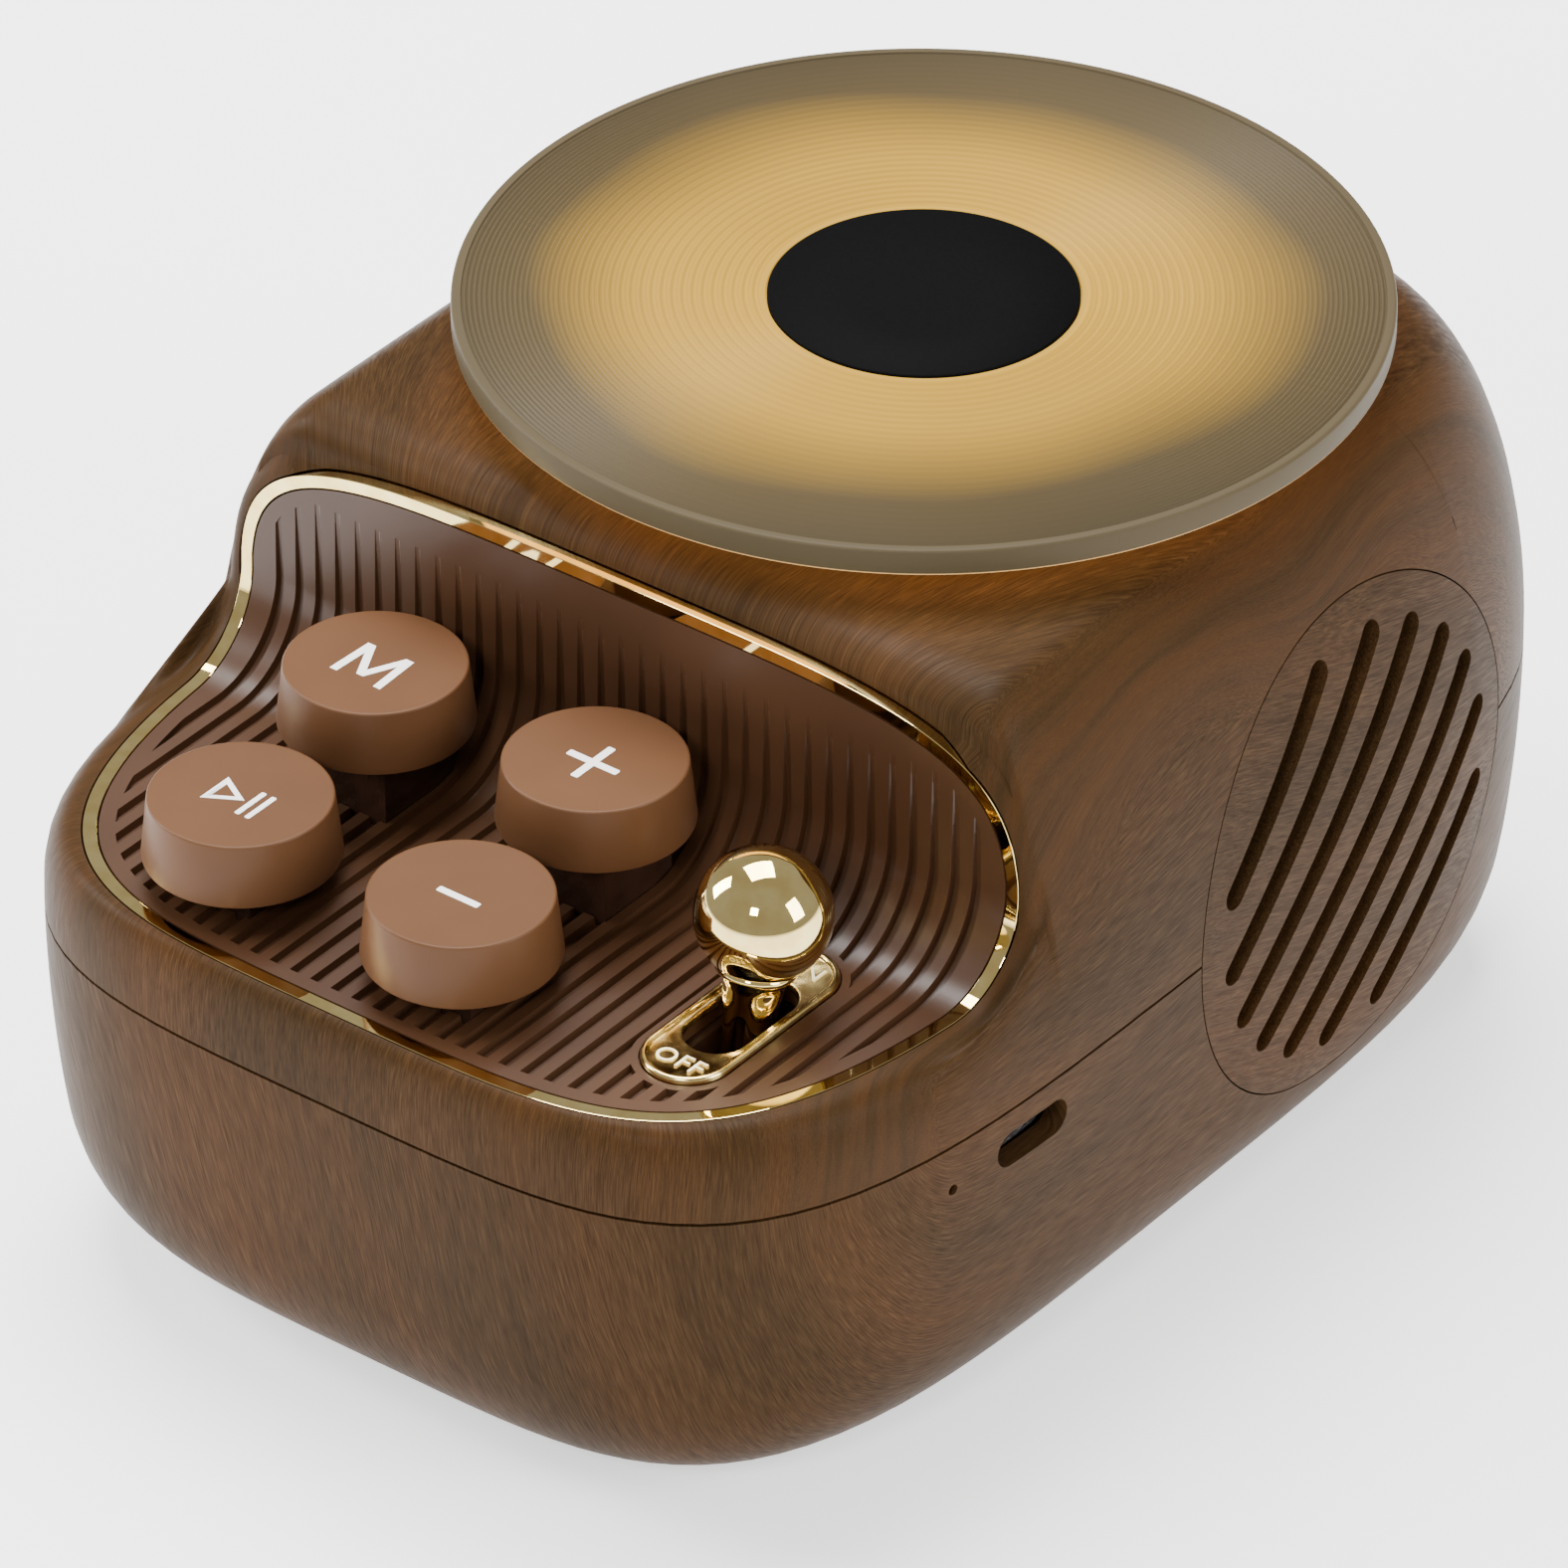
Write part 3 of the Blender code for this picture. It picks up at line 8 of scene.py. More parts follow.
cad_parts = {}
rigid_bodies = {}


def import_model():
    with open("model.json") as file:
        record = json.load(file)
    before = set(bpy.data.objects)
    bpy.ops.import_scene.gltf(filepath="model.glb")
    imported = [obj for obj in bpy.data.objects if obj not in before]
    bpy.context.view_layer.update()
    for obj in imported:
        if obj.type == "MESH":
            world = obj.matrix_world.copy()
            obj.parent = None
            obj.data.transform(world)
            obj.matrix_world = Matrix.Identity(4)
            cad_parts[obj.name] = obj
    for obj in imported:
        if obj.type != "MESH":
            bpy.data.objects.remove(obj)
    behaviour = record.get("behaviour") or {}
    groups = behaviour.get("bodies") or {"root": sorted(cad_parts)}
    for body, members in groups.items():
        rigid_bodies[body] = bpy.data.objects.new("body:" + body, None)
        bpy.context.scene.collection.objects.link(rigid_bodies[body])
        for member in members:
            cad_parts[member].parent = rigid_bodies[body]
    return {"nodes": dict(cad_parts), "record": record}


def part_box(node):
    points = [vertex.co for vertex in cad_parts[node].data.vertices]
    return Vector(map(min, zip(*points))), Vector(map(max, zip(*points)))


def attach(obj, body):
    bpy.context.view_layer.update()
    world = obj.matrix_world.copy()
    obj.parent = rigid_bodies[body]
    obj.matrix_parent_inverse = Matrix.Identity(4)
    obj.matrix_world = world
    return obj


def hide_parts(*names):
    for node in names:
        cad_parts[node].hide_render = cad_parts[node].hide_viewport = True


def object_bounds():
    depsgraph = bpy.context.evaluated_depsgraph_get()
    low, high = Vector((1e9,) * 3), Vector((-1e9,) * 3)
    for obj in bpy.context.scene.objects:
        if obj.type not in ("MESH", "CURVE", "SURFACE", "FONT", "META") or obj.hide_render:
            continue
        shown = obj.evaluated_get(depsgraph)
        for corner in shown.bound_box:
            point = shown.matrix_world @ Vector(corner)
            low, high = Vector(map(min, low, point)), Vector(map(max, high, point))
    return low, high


for old in list(bpy.data.objects):
    bpy.data.objects.remove(old, do_unlink=True)

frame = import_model()
cad_low, cad_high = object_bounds()

# ---- Moulded shells ---------------------------------------------------------------------------------
# An upper crown and a lower tub, both injection moulded, which meet at a level parting line. The outline is
# a squared oval; the crown is scooped down at the front for the controls, with every edge rolled over.

MM = 0.001
PLAN_POWER = 4.1
SEAM_GAP = 0.3 * MM
LIP_INSET = 1.3 * MM
LIP_HEIGHT = 1.6 * MM
WALL = 2.2 * MM
TOP_WALL = 4.4 * MM
FIT = 0.15 * MM
GAP = 0.3 * MM
FLANK_DRAFT = 3.0 * MM
FOOT_ROUND_WIDTH = 11.0 * MM
FOOT_ROUND_HEIGHT = 15.6 * MM
FOOT_ROUND_POWER = 2.6
SHOULDER_REACH = 12.0 * MM
RIM_REACH = 4.8 * MM
FRONT_REACH_SHARE = 0.42
DECK_Z = 44.4 * MM
DECK_FILLET = 8.8 * MM
DECK_WALL_Y = -25.6 * MM
DECK_TOP_Z = 68.3 * MM
DECK_WALL_POWER = 4.3
DECK_FRONT_Y = -66.5 * MM
DECK_HALF_WIDTH = 44.6 * MM
CREST_Z = 67.8 * MM
CREST_DEPTH = 5.2 * MM
EDGE_ROLL = 1.8 * MM
SWELL_START_Y = -46.0 * MM
SWELL_END_Y = -10.0 * MM
ROLL_POWER = 2.8

half_width = cad_high.x
half_depth = cad_high.y
bottom_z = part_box("lower_shell")[0].z
seam_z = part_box("lower_shell")[1].z - LIP_HEIGHT
top_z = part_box("upper_shell")[1].z


def reshade(piece, sharp):
    """Shades a piece smooth, except at edges sharper than an angle."""
    piece.data.shade_smooth()
    piece.data.set_sharp_from_angle(angle=radians(sharp))


def finished(name, mesh, sharp=32.0):
    """A mesh made an object in the scene, shaded smooth."""
    mesh.validate()
    made = bpy.data.objects.new(name, mesh)
    bpy.context.scene.collection.objects.link(made)
    reshade(made, sharp)
    return made


def evaluated_mesh(piece):
    """A piece's mesh with its modifiers applied."""
    graph = bpy.context.evaluated_depsgraph_get()
    graph.update()
    return bpy.data.meshes.new_from_object(piece.evaluated_get(graph))


def solid(name, shape, sharp=32.0):
    """A bmesh made an object, its doubles merged and its faces turned outward."""
    bmesh.ops.remove_doubles(shape, verts=shape.verts, dist=2e-7)
    bmesh.ops.recalc_face_normals(shape, faces=shape.faces)
    mesh = bpy.data.meshes.new(name)
    shape.to_mesh(mesh)
    shape.free()
    return finished(name, mesh, sharp)


def carve(piece, tool, operation="DIFFERENCE"):
    """Cuts, joins or keeps one solid by another, and removes the other."""
    change = piece.modifiers.new("carve", "BOOLEAN")
    change.operation = operation
    change.solver = "MANIFOLD"
    change.object = tool
    mesh = evaluated_mesh(piece)
    piece.modifiers.clear()
    piece.data = mesh
    bpy.data.objects.remove(tool, do_unlink=True)
    return piece


def skinned(name, rings, closing, sharp=32.0):
    """Rings of equal count joined into a skin, closed at its ends flat, by rungs, or ring to ring."""
    shape = bmesh.new()
    rows = [[shape.verts.new(point) for point in ring] for ring in rings]
    count = len(rows[0])
    pairs = list(zip(rows, rows[1:]))
    if closing == "loop":
        pairs.append((rows[-1], rows[0]))
    for low, high in pairs:
        for i in range(count):
            j = (i + 1) % count
            shape.faces.new((low[i], low[j], high[j], high[i]))
    ends = {"loop": (), "flat": (("flat", 0), ("flat", -1)), "dome": (("flat", 0), ("rungs", -1))}
    ends["crown"] = (("rungs", 0), ("rungs", -1))
    for kind, end in ends[closing]:
        row = rows[end]
        if kind == "flat":
            shape.faces.new(row)
            continue
        for i in range(count // 2):
            rung = []
            for corner in (row[i], row[i + 1], row[-(i + 1)], row[-i] if i else row[0]):
                if corner not in rung:
                    rung.append(corner)
            shape.faces.new(rung)
    return solid(name, shape, sharp)


def oval_x(y, wide, deep, power=PLAN_POWER):
    return wide * max(0.0, 1 - abs(y / deep) ** power) ** (1 / power)


corner_angles = [radians(68) * (k / 18) ** 1.35 for k in range(19)]
fillet_start = DECK_WALL_Y - DECK_FILLET
flank_ys = [-40 * MM, -38 * MM, -36 * MM, fillet_start]
flank_ys += [fillet_start + (DECK_FILLET - 0.2 * MM) * sin(radians(9 * k)) for k in range(1, 11)]
flank_ys += [DECK_WALL_Y + (-0.2 + 0.045 * k) * MM for k in range(1, 11)]
flank_ys += [DECK_WALL_Y + 0.25 * MM + CREST_DEPTH * (1 - cos(radians(11.25 * k))) for k in range(1, 9)]
flank_ys += [(-17 + 3.6 * k) * MM for k in range(17)]


def half_outline(inset, front_share=1.0):
    """The right-hand half of the outline at an inset, from the front middle to the back middle."""
    wide = half_width - inset
    front = half_depth - inset * front_share
    back = half_depth - inset
    power = 2 / PLAN_POWER
    line = [(wide * sin(a) ** power, -front * cos(a) ** power) for a in corner_angles]
    line += [(oval_x(y, wide, front if y < 0 else back), y) for y in flank_ys]
    return line + [(wide * sin(a) ** power, back * cos(a) ** power) for a in reversed(corner_angles)]


def mirrored(half):
    """A half outline with its mirror image, as one closed ring."""
    return half + [(-point[0], *point[1:]) for point in reversed(half[1:-1])]


def level_ring(inset, z):
    return mirrored([(x, y, z) for x, y in half_outline(inset)])


def scoop(y, sink):
    """The height of the crown along its middle: deck floor, fillet, back wall and rounded crest."""
    floor = DECK_Z - sink
    radius = DECK_FILLET + sink
    wall = DECK_WALL_Y + sink
    start = wall - radius
    if y <= start:
        return floor
    if y < wall - 0.2 * MM:
        return floor + radius - sqrt(max(0.0, radius**2 - (y - start) ** 2))
    if y < wall + 0.25 * MM:
        low = floor + radius - sqrt(radius**2 - (radius - 0.2 * MM) ** 2)
        return low + (CREST_Z - sink - low) * (y - wall + 0.2 * MM) / (0.45 * MM)
    run = min(1.0, (y - wall - 0.25 * MM) / CREST_DEPTH)
    return CREST_Z - sink + (top_z - CREST_Z) * sqrt(1 - (1 - run) ** 2)


def ease(part):
    """A part from 0 to 1, eased at both ends."""
    part = min(1.0, max(0.0, part))
    return part * part * (3 - 2 * part)


def edge_roll(x, z):
    """How far back the scoop's wall is rolled where it turns outside the deck into the flank."""
    out = (abs(x) / DECK_HALF_WIDTH) ** DECK_WALL_POWER
    out += max(0.0, (z - DECK_Z) / (DECK_TOP_Z - DECK_Z)) ** DECK_WALL_POWER
    beyond = max(0.0, out ** (1 / DECK_WALL_POWER) - 1) * 42 * MM
    return EDGE_ROLL - sqrt(max(0.0, EDGE_ROLL**2 - min(beyond, EDGE_ROLL * 0.92) ** 2))


def crown_ring(turn, shrink, sink):
    """One ring of the crown: the roll-over from the parting line at turn 0 to the top at a quarter turn.

    Low on the flank the scoop is only a gentle swell, and it sharpens to the deck's own section at the top.
    """
    power = 2 / PLAN_POWER
    half = []
    corners = [(a, -1) for a in corner_angles] + [(None, y) for y in flank_ys]
    corners += [(a, 1) for a in reversed(corner_angles)]
    for angle, y in corners:
        if angle is None:
            span = min(1.0, max(0.0, (y + 52 * MM) / (12 * MM)), max(0.0, (-8 * MM - y) / (12 * MM)))
            y += sink * span
        depth_y = y if angle is None else y * half_depth * 0.9
        height = scoop(depth_y, sink)
        rise = ease((depth_y - SWELL_START_Y - sink) / (SWELL_END_Y - SWELL_START_Y))
        swell = DECK_Z - sink + (top_z - DECK_Z) * rise
        height = swell + (height - swell) * ease((turn - radians(20)) / radians(52))
        share = (height - DECK_Z + sink) / (top_z - DECK_Z)
        fullness = 2 / (ROLL_POWER + (2 - ROLL_POWER) * min(1.0, 2 * share))
        reach = RIM_REACH + (SHOULDER_REACH - RIM_REACH) * share
        inset = reach * (1 - max(0.0, cos(turn)) ** fullness) + shrink
        z = seam_z + (height - seam_z) * sin(turn) ** fullness
        wide = half_width - inset
        front = half_depth - shrink - (inset - shrink) * FRONT_REACH_SHARE
        back = half_depth - inset
        if angle is None:
            x = oval_x(y, wide, front if y < 0 else back)
            fade = min(1.0, max(0.0, (y + 50 * MM) / (18 * MM)), max(0.0, (14 * MM - y) / (30 * MM)))
            y += edge_roll(x, z) * fade
            x = oval_x(y, wide, front if y < 0 else back)
        else:
            x = wide * sin(angle) ** power
            y = (back if y > 0 else -front) * cos(angle) ** power
        half.append((x, y, z))
    return mirrored(half)


def tub_inset(z, floor):
    """How far the lower flank has drawn in at a height."""
    k = (seam_z - z) / (seam_z - floor)
    inset = FLANK_DRAFT * k * k
    if z < floor + FOOT_ROUND_HEIGHT:
        g = min(1.0, (floor + FOOT_ROUND_HEIGHT - z) / FOOT_ROUND_HEIGHT)
        inset += FOOT_ROUND_WIDTH * (1 - (1 - g**FOOT_ROUND_POWER) ** (1 / FOOT_ROUND_POWER))
    return inset


def tub_rings(shrink, floor, top, count):
    """Rings of the lower flank, closer together where it turns under."""
    heights = [floor + (top - floor) * (k / count) ** 2.1 for k in range(count + 1)]
    return [level_ring(tub_inset(z, floor) + shrink, z) for z in heights]


low_edge = seam_z - SEAM_GAP / 2
high_edge = seam_z + SEAM_GAP / 2
lip_top = seam_z + LIP_HEIGHT
rebate = LIP_INSET - 2 * FIT
turns = [radians(90) * k / 24 for k in range(25)]

outer = [level_ring(0.0, high_edge)] + [crown_ring(t, 0.0, 0.0) for t in turns[1:]]
inner = [crown_ring(t, WALL, TOP_WALL) for t in turns[::4][1:]]
ledge_z = lip_top + GAP
edge = [level_ring(inset, z) for inset, z in ((WALL, ledge_z), (rebate, ledge_z), (rebate, high_edge))]
crown = skinned("crown", list(reversed(inner)) + edge + outer, "crown")
tub = skinned(
    "tub",
    tub_rings(0.0, bottom_z, low_edge, 30)
    + [level_ring(LIP_INSET, low_edge), level_ring(LIP_INSET, lip_top), level_ring(WALL, lip_top)]
    + list(reversed(tub_rings(WALL, bottom_z + WALL, low_edge, 8))),
    "flat",
)


def filled(curve):
    """A curve or a word as a bmesh."""
    holder = bpy.data.objects.new(curve.name, curve)
    bpy.context.scene.collection.objects.link(holder)
    mesh = evaluated_mesh(holder)
    bpy.data.objects.remove(holder, do_unlink=True)
    shape = bmesh.new()
    shape.from_mesh(mesh)
    return shape


def prism(name, outline, low, high, axis):
    """A flat outline drawn as a filled curve and given depth along one axis."""
    curve = bpy.data.curves.new(name, "CURVE")
    curve.dimensions = "2D"
    curve.fill_mode = "BOTH"
    curve.extrude = (high - low) / 2
    line = curve.splines.new("POLY")
    line.points.add(len(outline) - 1)
    for point, (u, v) in zip(line.points, outline):
        point.co = (u, v, 0.0, 1.0)
    line.use_cyclic_u = True
    shape = filled(curve)
    middle = (low + high) / 2
    turn = {
        "Z": Matrix.Translation((0, 0, middle)),
        "Y": Matrix(((1, 0, 0, 0), (0, 0, 1, middle), (0, 1, 0, 0), (0, 0, 0, 1))),
        "X": Matrix(((0, 0, 1, middle), (1, 0, 0, 0), (0, 1, 0, 0), (0, 0, 0, 1))),
    }[axis]
    bmesh.ops.transform(shape, matrix=turn, verts=shape.verts)
    return solid(name, shape)


def lathed(name, profile, steps, at=(0.0, 0.0, 0.0), lean=None, sharp=32.0):
    """A turned solid: a profile of (radius, height), from its top to its bottom, spun about its axis."""
    shape = bmesh.new()
    rows = []
    for radius, height in profile:
        if radius < 1e-7:
            rows.append([shape.verts.new((0, 0, height))])
            continue
        spots = [2 * pi * k / steps for k in range(steps)]
        rows.append([shape.verts.new((radius * cos(a), radius * sin(a), height)) for a in spots])
    pairs = list(zip(rows, rows[1:]))
    if len(rows[0]) > 1 and len(rows[-1]) > 1:
        pairs.append((rows[-1], rows[0]))
    for upper, lower in pairs:
        for i in range(steps):
            j = (i + 1) % steps
            above = (upper[i % len(upper)], upper[j % len(upper)])
            below = (lower[j % len(lower)], lower[i % len(lower)])
            face = []
            for corner in above + below:
                if corner not in face:
                    face.append(corner)
            shape.faces.new(face)
    if lean:
        bmesh.ops.transform(shape, matrix=lean, verts=shape.verts)
    bmesh.ops.translate(shape, vec=Vector(at), verts=shape.verts)
    return solid(name, shape, sharp)


def drum(name, radius, low, high, at=(0.0, 0.0), tip="Z", steps=96):
    """A plain cylinder, used to bore holes."""
    lean = Matrix.Rotation(pi / 2, 4, "Y") if tip == "X" else None
    centre = (0.0, at[0], at[1]) if tip == "X" else (at[0], at[1], 0.0)
    return lathed(name, [(0, high), (radius, high), (radius, low), (0, low)], steps, centre, lean)


def inset_line(line, inward):
    """A closed outline moved inward by an even distance, square to itself."""
    moved = []
    for i, (u, v) in enumerate(line):
        before = line[i - 1]
        after = line[(i + 1) % len(line)]
        along = Vector((after[0] - before[0], after[1] - before[1])).normalized()
        moved.append((u - along.y * inward, v + along.x * inward))
    return moved


def deck_plan(inward):
    """The deck's outline from above, counter-clockwise from its back right corner."""
    power = 2 / PLAN_POWER
    front = -DECK_FRONT_Y
    sweep = [pi / 2 * k / 56 for k in range(1, 57)]
    right = [(DECK_HALF_WIDTH * sin(a) ** power, -front * cos(a) ** power) for a in sweep[:-1]]
    line = [(-x, y) for x, y in reversed(right)] + [(0.0, -front)] + right
    line = [(-DECK_HALF_WIDTH, 0.0)] + line + [(DECK_HALF_WIDTH, 0.0)]
    moved = inset_line(line, inward)
    moved[0] = (-DECK_HALF_WIDTH + inward, 0.0)
    moved[-1] = (DECK_HALF_WIDTH - inward, 0.0)
    return moved


def deck_front(inward):
    """The deck's outline from the front, round-shouldered at the top of its back wall."""
    power = 2 / DECK_WALL_POWER
    tall = DECK_TOP_Z - DECK_Z
    sweep = [pi / 2 * k / 56 for k in range(1, 57)]
    right = [(DECK_HALF_WIDTH * sin(a) ** power, DECK_Z + tall * cos(a) ** power) for a in sweep[:-1]]
    line = list(reversed(right)) + [(0.0, DECK_TOP_Z)] + [(-x, z) for x, z in right]
    low = DECK_Z - 30 * MM
    line = [(DECK_HALF_WIDTH, low)] + line + [(-DECK_HALF_WIDTH, low)]
    moved = inset_line(line, inward)
    moved[0] = (DECK_HALF_WIDTH - inward, low)
    moved[-1] = (-DECK_HALF_WIDTH + inward, low)
    return moved


def deck_face(depth):
    """The deck's section, as (y, z), at a depth below its face."""
    centre_y, centre_z = DECK_WALL_Y - DECK_FILLET, DECK_Z + DECK_FILLET
    line = [(-80 * MM, DECK_Z - depth)]
    for k in range(49):
        a = -pi / 2 + pi / 2 * k / 48
        line.append((centre_y + (DECK_FILLET + depth) * cos(a), centre_z + (DECK_FILLET + depth) * sin(a)))
    return line + [(DECK_WALL_Y + depth, 90 * MM)]


def deck_block(name, section, inward):
    """A section swept across the deck and trimmed to its outline."""
    block = prism(name, section, -60 * MM, 60 * MM, "X")
    carve(block, prism("trim_plan", deck_plan(inward), 20 * MM, 100 * MM, "Z"), "INTERSECT")
    return carve(block, prism("trim_front", deck_front(inward), -90 * MM, -1 * MM, "Y"), "INTERSECT")


DECK_THICK = 2.0 * MM
LEDGE = 3.2 * MM
carve(crown, deck_block("recess", deck_face(DECK_THICK + GAP) + [(-80 * MM, 90 * MM)], -FIT))
carve(crown, deck_block("window", deck_face(14 * MM) + [(-80 * MM, 90 * MM)], LEDGE))

grille_low, grille_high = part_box("grille_right")
grille_y = (grille_low.y + grille_high.y) / 2
grille_z = (grille_low.z + grille_high.z) / 2
grille_radius = (grille_high.y - grille_low.y) / 2 + FIT
for sign in (-1, 1):
    for shell in (crown, tub):
        near, far = sorted((sign * 30 * MM, sign * 60 * MM))
        carve(shell, drum("port", grille_radius, near, far, (grille_y, grille_z), "X", 160))

tray_low, tray_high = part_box("lamp_tray")
disc_y = (tray_low.y + tray_high.y) / 2
FLANGE = 3.0 * MM
tray_radius = tray_high.x - FLANGE
carve(crown, drum("lamp_well", tray_radius + GAP, 50 * MM, 90 * MM, (0, disc_y)))
carve(crown, drum("lamp_rebate", tray_radius + FLANGE + FIT, tray_high.z - 1.6 * MM, 90 * MM, (0, disc_y)))

for k in range(4):
    low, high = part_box(f"foot_{k}")
    spot = ((low.x + high.x) / 2, (low.y + high.y) / 2)
    carve(tub, drum("foot_seat", (high.x - low.x) / 2 + FIT, -1 * MM, high.z + GAP, spot))
    low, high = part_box(f"case_screw_{k}")
    spot = ((low.x + high.x) / 2, (low.y + high.y) / 2)
    carve(tub, drum("screw_well", (high.x - low.x) / 2 + GAP, -1 * MM, 7.0 * MM, spot, steps=48))


def stadium(half_length, half_across, count=16, centre=(0.0, 0.0)):
    """A slot's outline, lying along the second axis."""
    straight = half_length - half_across
    line = []
    for end in (1, -1):
        for k in range(count + 1):
            a = pi * k / count + (0 if end > 0 else pi)
            line.append((centre[0] + half_across * cos(a), centre[1] + end * straight + half_across * sin(a)))
    return line


SOCKET_LENGTH = 9.6 * MM
SOCKET_HEIGHT = 3.7 * MM
PIN_Y = -39.2 * MM
PIN_Z = 30.8 * MM
PIN_RADIUS = 0.55 * MM
usb_low, usb_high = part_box("usb_socket")
usb_y, usb_z = (usb_low.y + usb_high.y) / 2, (usb_low.z + usb_high.z) / 2
mouth = [(usb_y + v, usb_z + u) for u, v in stadium(SOCKET_LENGTH / 2, SOCKET_HEIGHT / 2)]
carve(tub, prism("socket_mouth", mouth, 30 * MM, 60 * MM, "X"))
carve(tub, drum("pin_hole", PIN_RADIUS, 30 * MM, 60 * MM, (PIN_Y, PIN_Z), "X", 32))
for shell in (crown, tub):
    reshade(shell, 34)

# The walnut film. A printed sheet is floated on a bath and wraps round each moulding, so its fibres fan
# out from the deck, over the rolled edges and back along the flanks. A satin lacquer lies over it.


def step(tree, kind, feeds=None, **settings):
    """Adds one node, sets it, and feeds its sockets with values or with other nodes' outputs."""
    node = tree.nodes.new(kind)
    for key, value in settings.items():
        setattr(node, key, value)
    for key, value in (feeds or {}).items():
        if isinstance(value, bpy.types.NodeSocket):
            tree.links.new(value, node.inputs[key])
        else:
            node.inputs[key].default_value = value
    return node


def calc(tree, operation, *terms):
    feeds = dict(enumerate(terms))
    return step(tree, "ShaderNodeMath", feeds, operation=operation).outputs[0]


def between(tree, value, low, high, to_low=0.0, to_high=1.0):
    """A value carried smoothly from one range to another."""
    feeds = {"Value": value, "From Min": low, "From Max": high, "To Min": to_low, "To Max": to_high}
    return step(tree, "ShaderNodeMapRange", feeds, interpolation_type="SMOOTHSTEP").outputs[0]


def stops(tree, factor, colours):
    """A colour ramp, from (place, colour) pairs."""
    node = step(tree, "ShaderNodeValToRGB", {"Fac": factor})
    ramp = node.color_ramp
    while len(ramp.elements) < len(colours):
        ramp.elements.new(0.5)
    for element, (place, colour) in zip(ramp.elements, colours):
        element.position = place
        element.color = (*colour, 1.0)
    return node.outputs[0]


def speckle(tree, place, stretch, scale=1.0, detail=3.0, roughness=0.6):
    """Noise, stretched by different amounts along its three directions."""
    drawn = step(tree, "ShaderNodeVectorMath", {0: place, 1: stretch}, operation="MULTIPLY").outputs[0]
    feeds = {"Vector": drawn, "Scale": scale, "Detail": detail, "Roughness": roughness}
    return step(tree, "ShaderNodeTexNoise", feeds).outputs["Fac"]


def blend_colour(tree, factor, first, second, kind="MIX"):
    feeds = {0: factor, 6: first, 7: second}
    return step(tree, "ShaderNodeMix", feeds, data_type="RGBA", blend_type=kind).outputs[2]


def finish(name, **surface):
    """A material whose shader has these even values; the pattern is added to its tree."""
    material = bpy.data.materials.new(name)
    material.use_nodes = True
    shader = material.node_tree.nodes["Principled BSDF"]
    for socket, value in surface.items():
        shader.inputs[socket.replace("_", " ")].default_value = value
    return material, material.node_tree, shader


def vector(tree, operation, *terms):
    feeds = dict(enumerate(terms))
    return step(tree, "ShaderNodeVectorMath", feeds, operation=operation).outputs[0]


def in_millimetres(tree):
    place = step(tree, "ShaderNodeTexCoord").outputs["Object"]
    return step(tree, "ShaderNodeVectorMath", {0: place, "Scale": 1000.0}, operation="SCALE").outputs[0]


def tinted(tree, shader, factor, *tones):
    """Gives a shader a colour that follows a factor through the tones."""
    colour = stops(tree, factor, tones)
    tree.links.new(colour, shader.inputs["Base Color"])
    return colour


def clouded(tree, shader, stretch, low, high):
    """Gives a shader a colour that drifts between two tones; also hands on the drift and the colour."""
    cloud = speckle(tree, in_millimetres(tree), stretch)
    return cloud, tinted(tree, shader, cloud, low, high)


def dulled(tree, shader, factor, low, high):
    """Gives a shader a roughness that follows a factor."""
    tree.links.new(between(tree, factor, 0.3, 0.7, low, high), shader.inputs["Roughness"])


def embossed(tree, shader, height, strength, distance):
    """Gives a shader's surface a fine relief."""
    relief = step(tree, "ShaderNodeBump", {"Height": height, "Strength": strength, "Distance": distance})
    tree.links.new(relief.outputs[0], shader.inputs["Normal"])


WOOD_DARK = (0.0240, 0.0110, 0.0035)
WOOD_BODY = (0.0400, 0.0192, 0.0068)
WOOD_PALE = (0.0620, 0.0318, 0.0120)


def walnut(name, grain):
    """Walnut film whose fibres follow the third part of the vector that grain works out."""
    material, tree, shader = finish(name, Roughness=0.45, Specular_IOR_Level=0.045)
    place = in_millimetres(tree)
    drift = step(tree, "ShaderNodeTexNoise", {"Vector": place, "Scale": 0.022, "Detail": 1.5})
    away = vector(tree, "SUBTRACT", drift.outputs["Color"], (0.5, 0.5, 0.5))
    along = grain(tree, vector(tree, "MULTIPLY_ADD", away, (10.0, 10.0, 10.0), place))
    fibre = speckle(tree, along, (5.2, 5.2, 0.36), 1.0, 3.0, 0.6)
    strand = speckle(tree, along, (0.9, 0.9, 0.05), 1.0, 3.0, 0.6)
    pore = speckle(tree, along, (5.2, 5.2, 0.6), 1.0, 2.0, 0.5)
    patch = speckle(tree, along, (0.05, 0.05, 0.018), 1.0, 2.0, 0.5)
    wood = stops(tree, fibre, ((0.28, WOOD_DARK), (0.5, WOOD_BODY), (0.72, WOOD_PALE)))
    even = (1.0, 1.0, 1.0)
    shade = stops(tree, strand, ((0.34, (0.86, 0.85, 0.84)), (0.52, even), (0.68, (1.10, 1.08, 1.05))))
    wood = blend_colour(tree, 1.0, wood, shade, "MULTIPLY")
    cast = stops(tree, patch, ((0.36, (0.80, 0.85, 0.85)), (0.5, even), (0.64, (1.14, 1.06, 0.98))))
    wood = blend_colour(tree, 1.0, wood, cast, "MULTIPLY")
    dots = between(tree, pore, 0.58, 0.72, 0.0, 0.6)
    wood = blend_colour(tree, dots, wood, (0.022, 0.010, 0.004, 1.0))
    tree.links.new(wood, shader.inputs["Base Color"])
    dulled(tree, shader, fibre, 0.50, 0.38)
    embossed(tree, shader, fibre, 0.08, 0.0002)
    return material


def joined(tree, x, y, z):
    return step(tree, "ShaderNodeCombineXYZ", {0: x, 1: y, 2: z}).outputs[0]


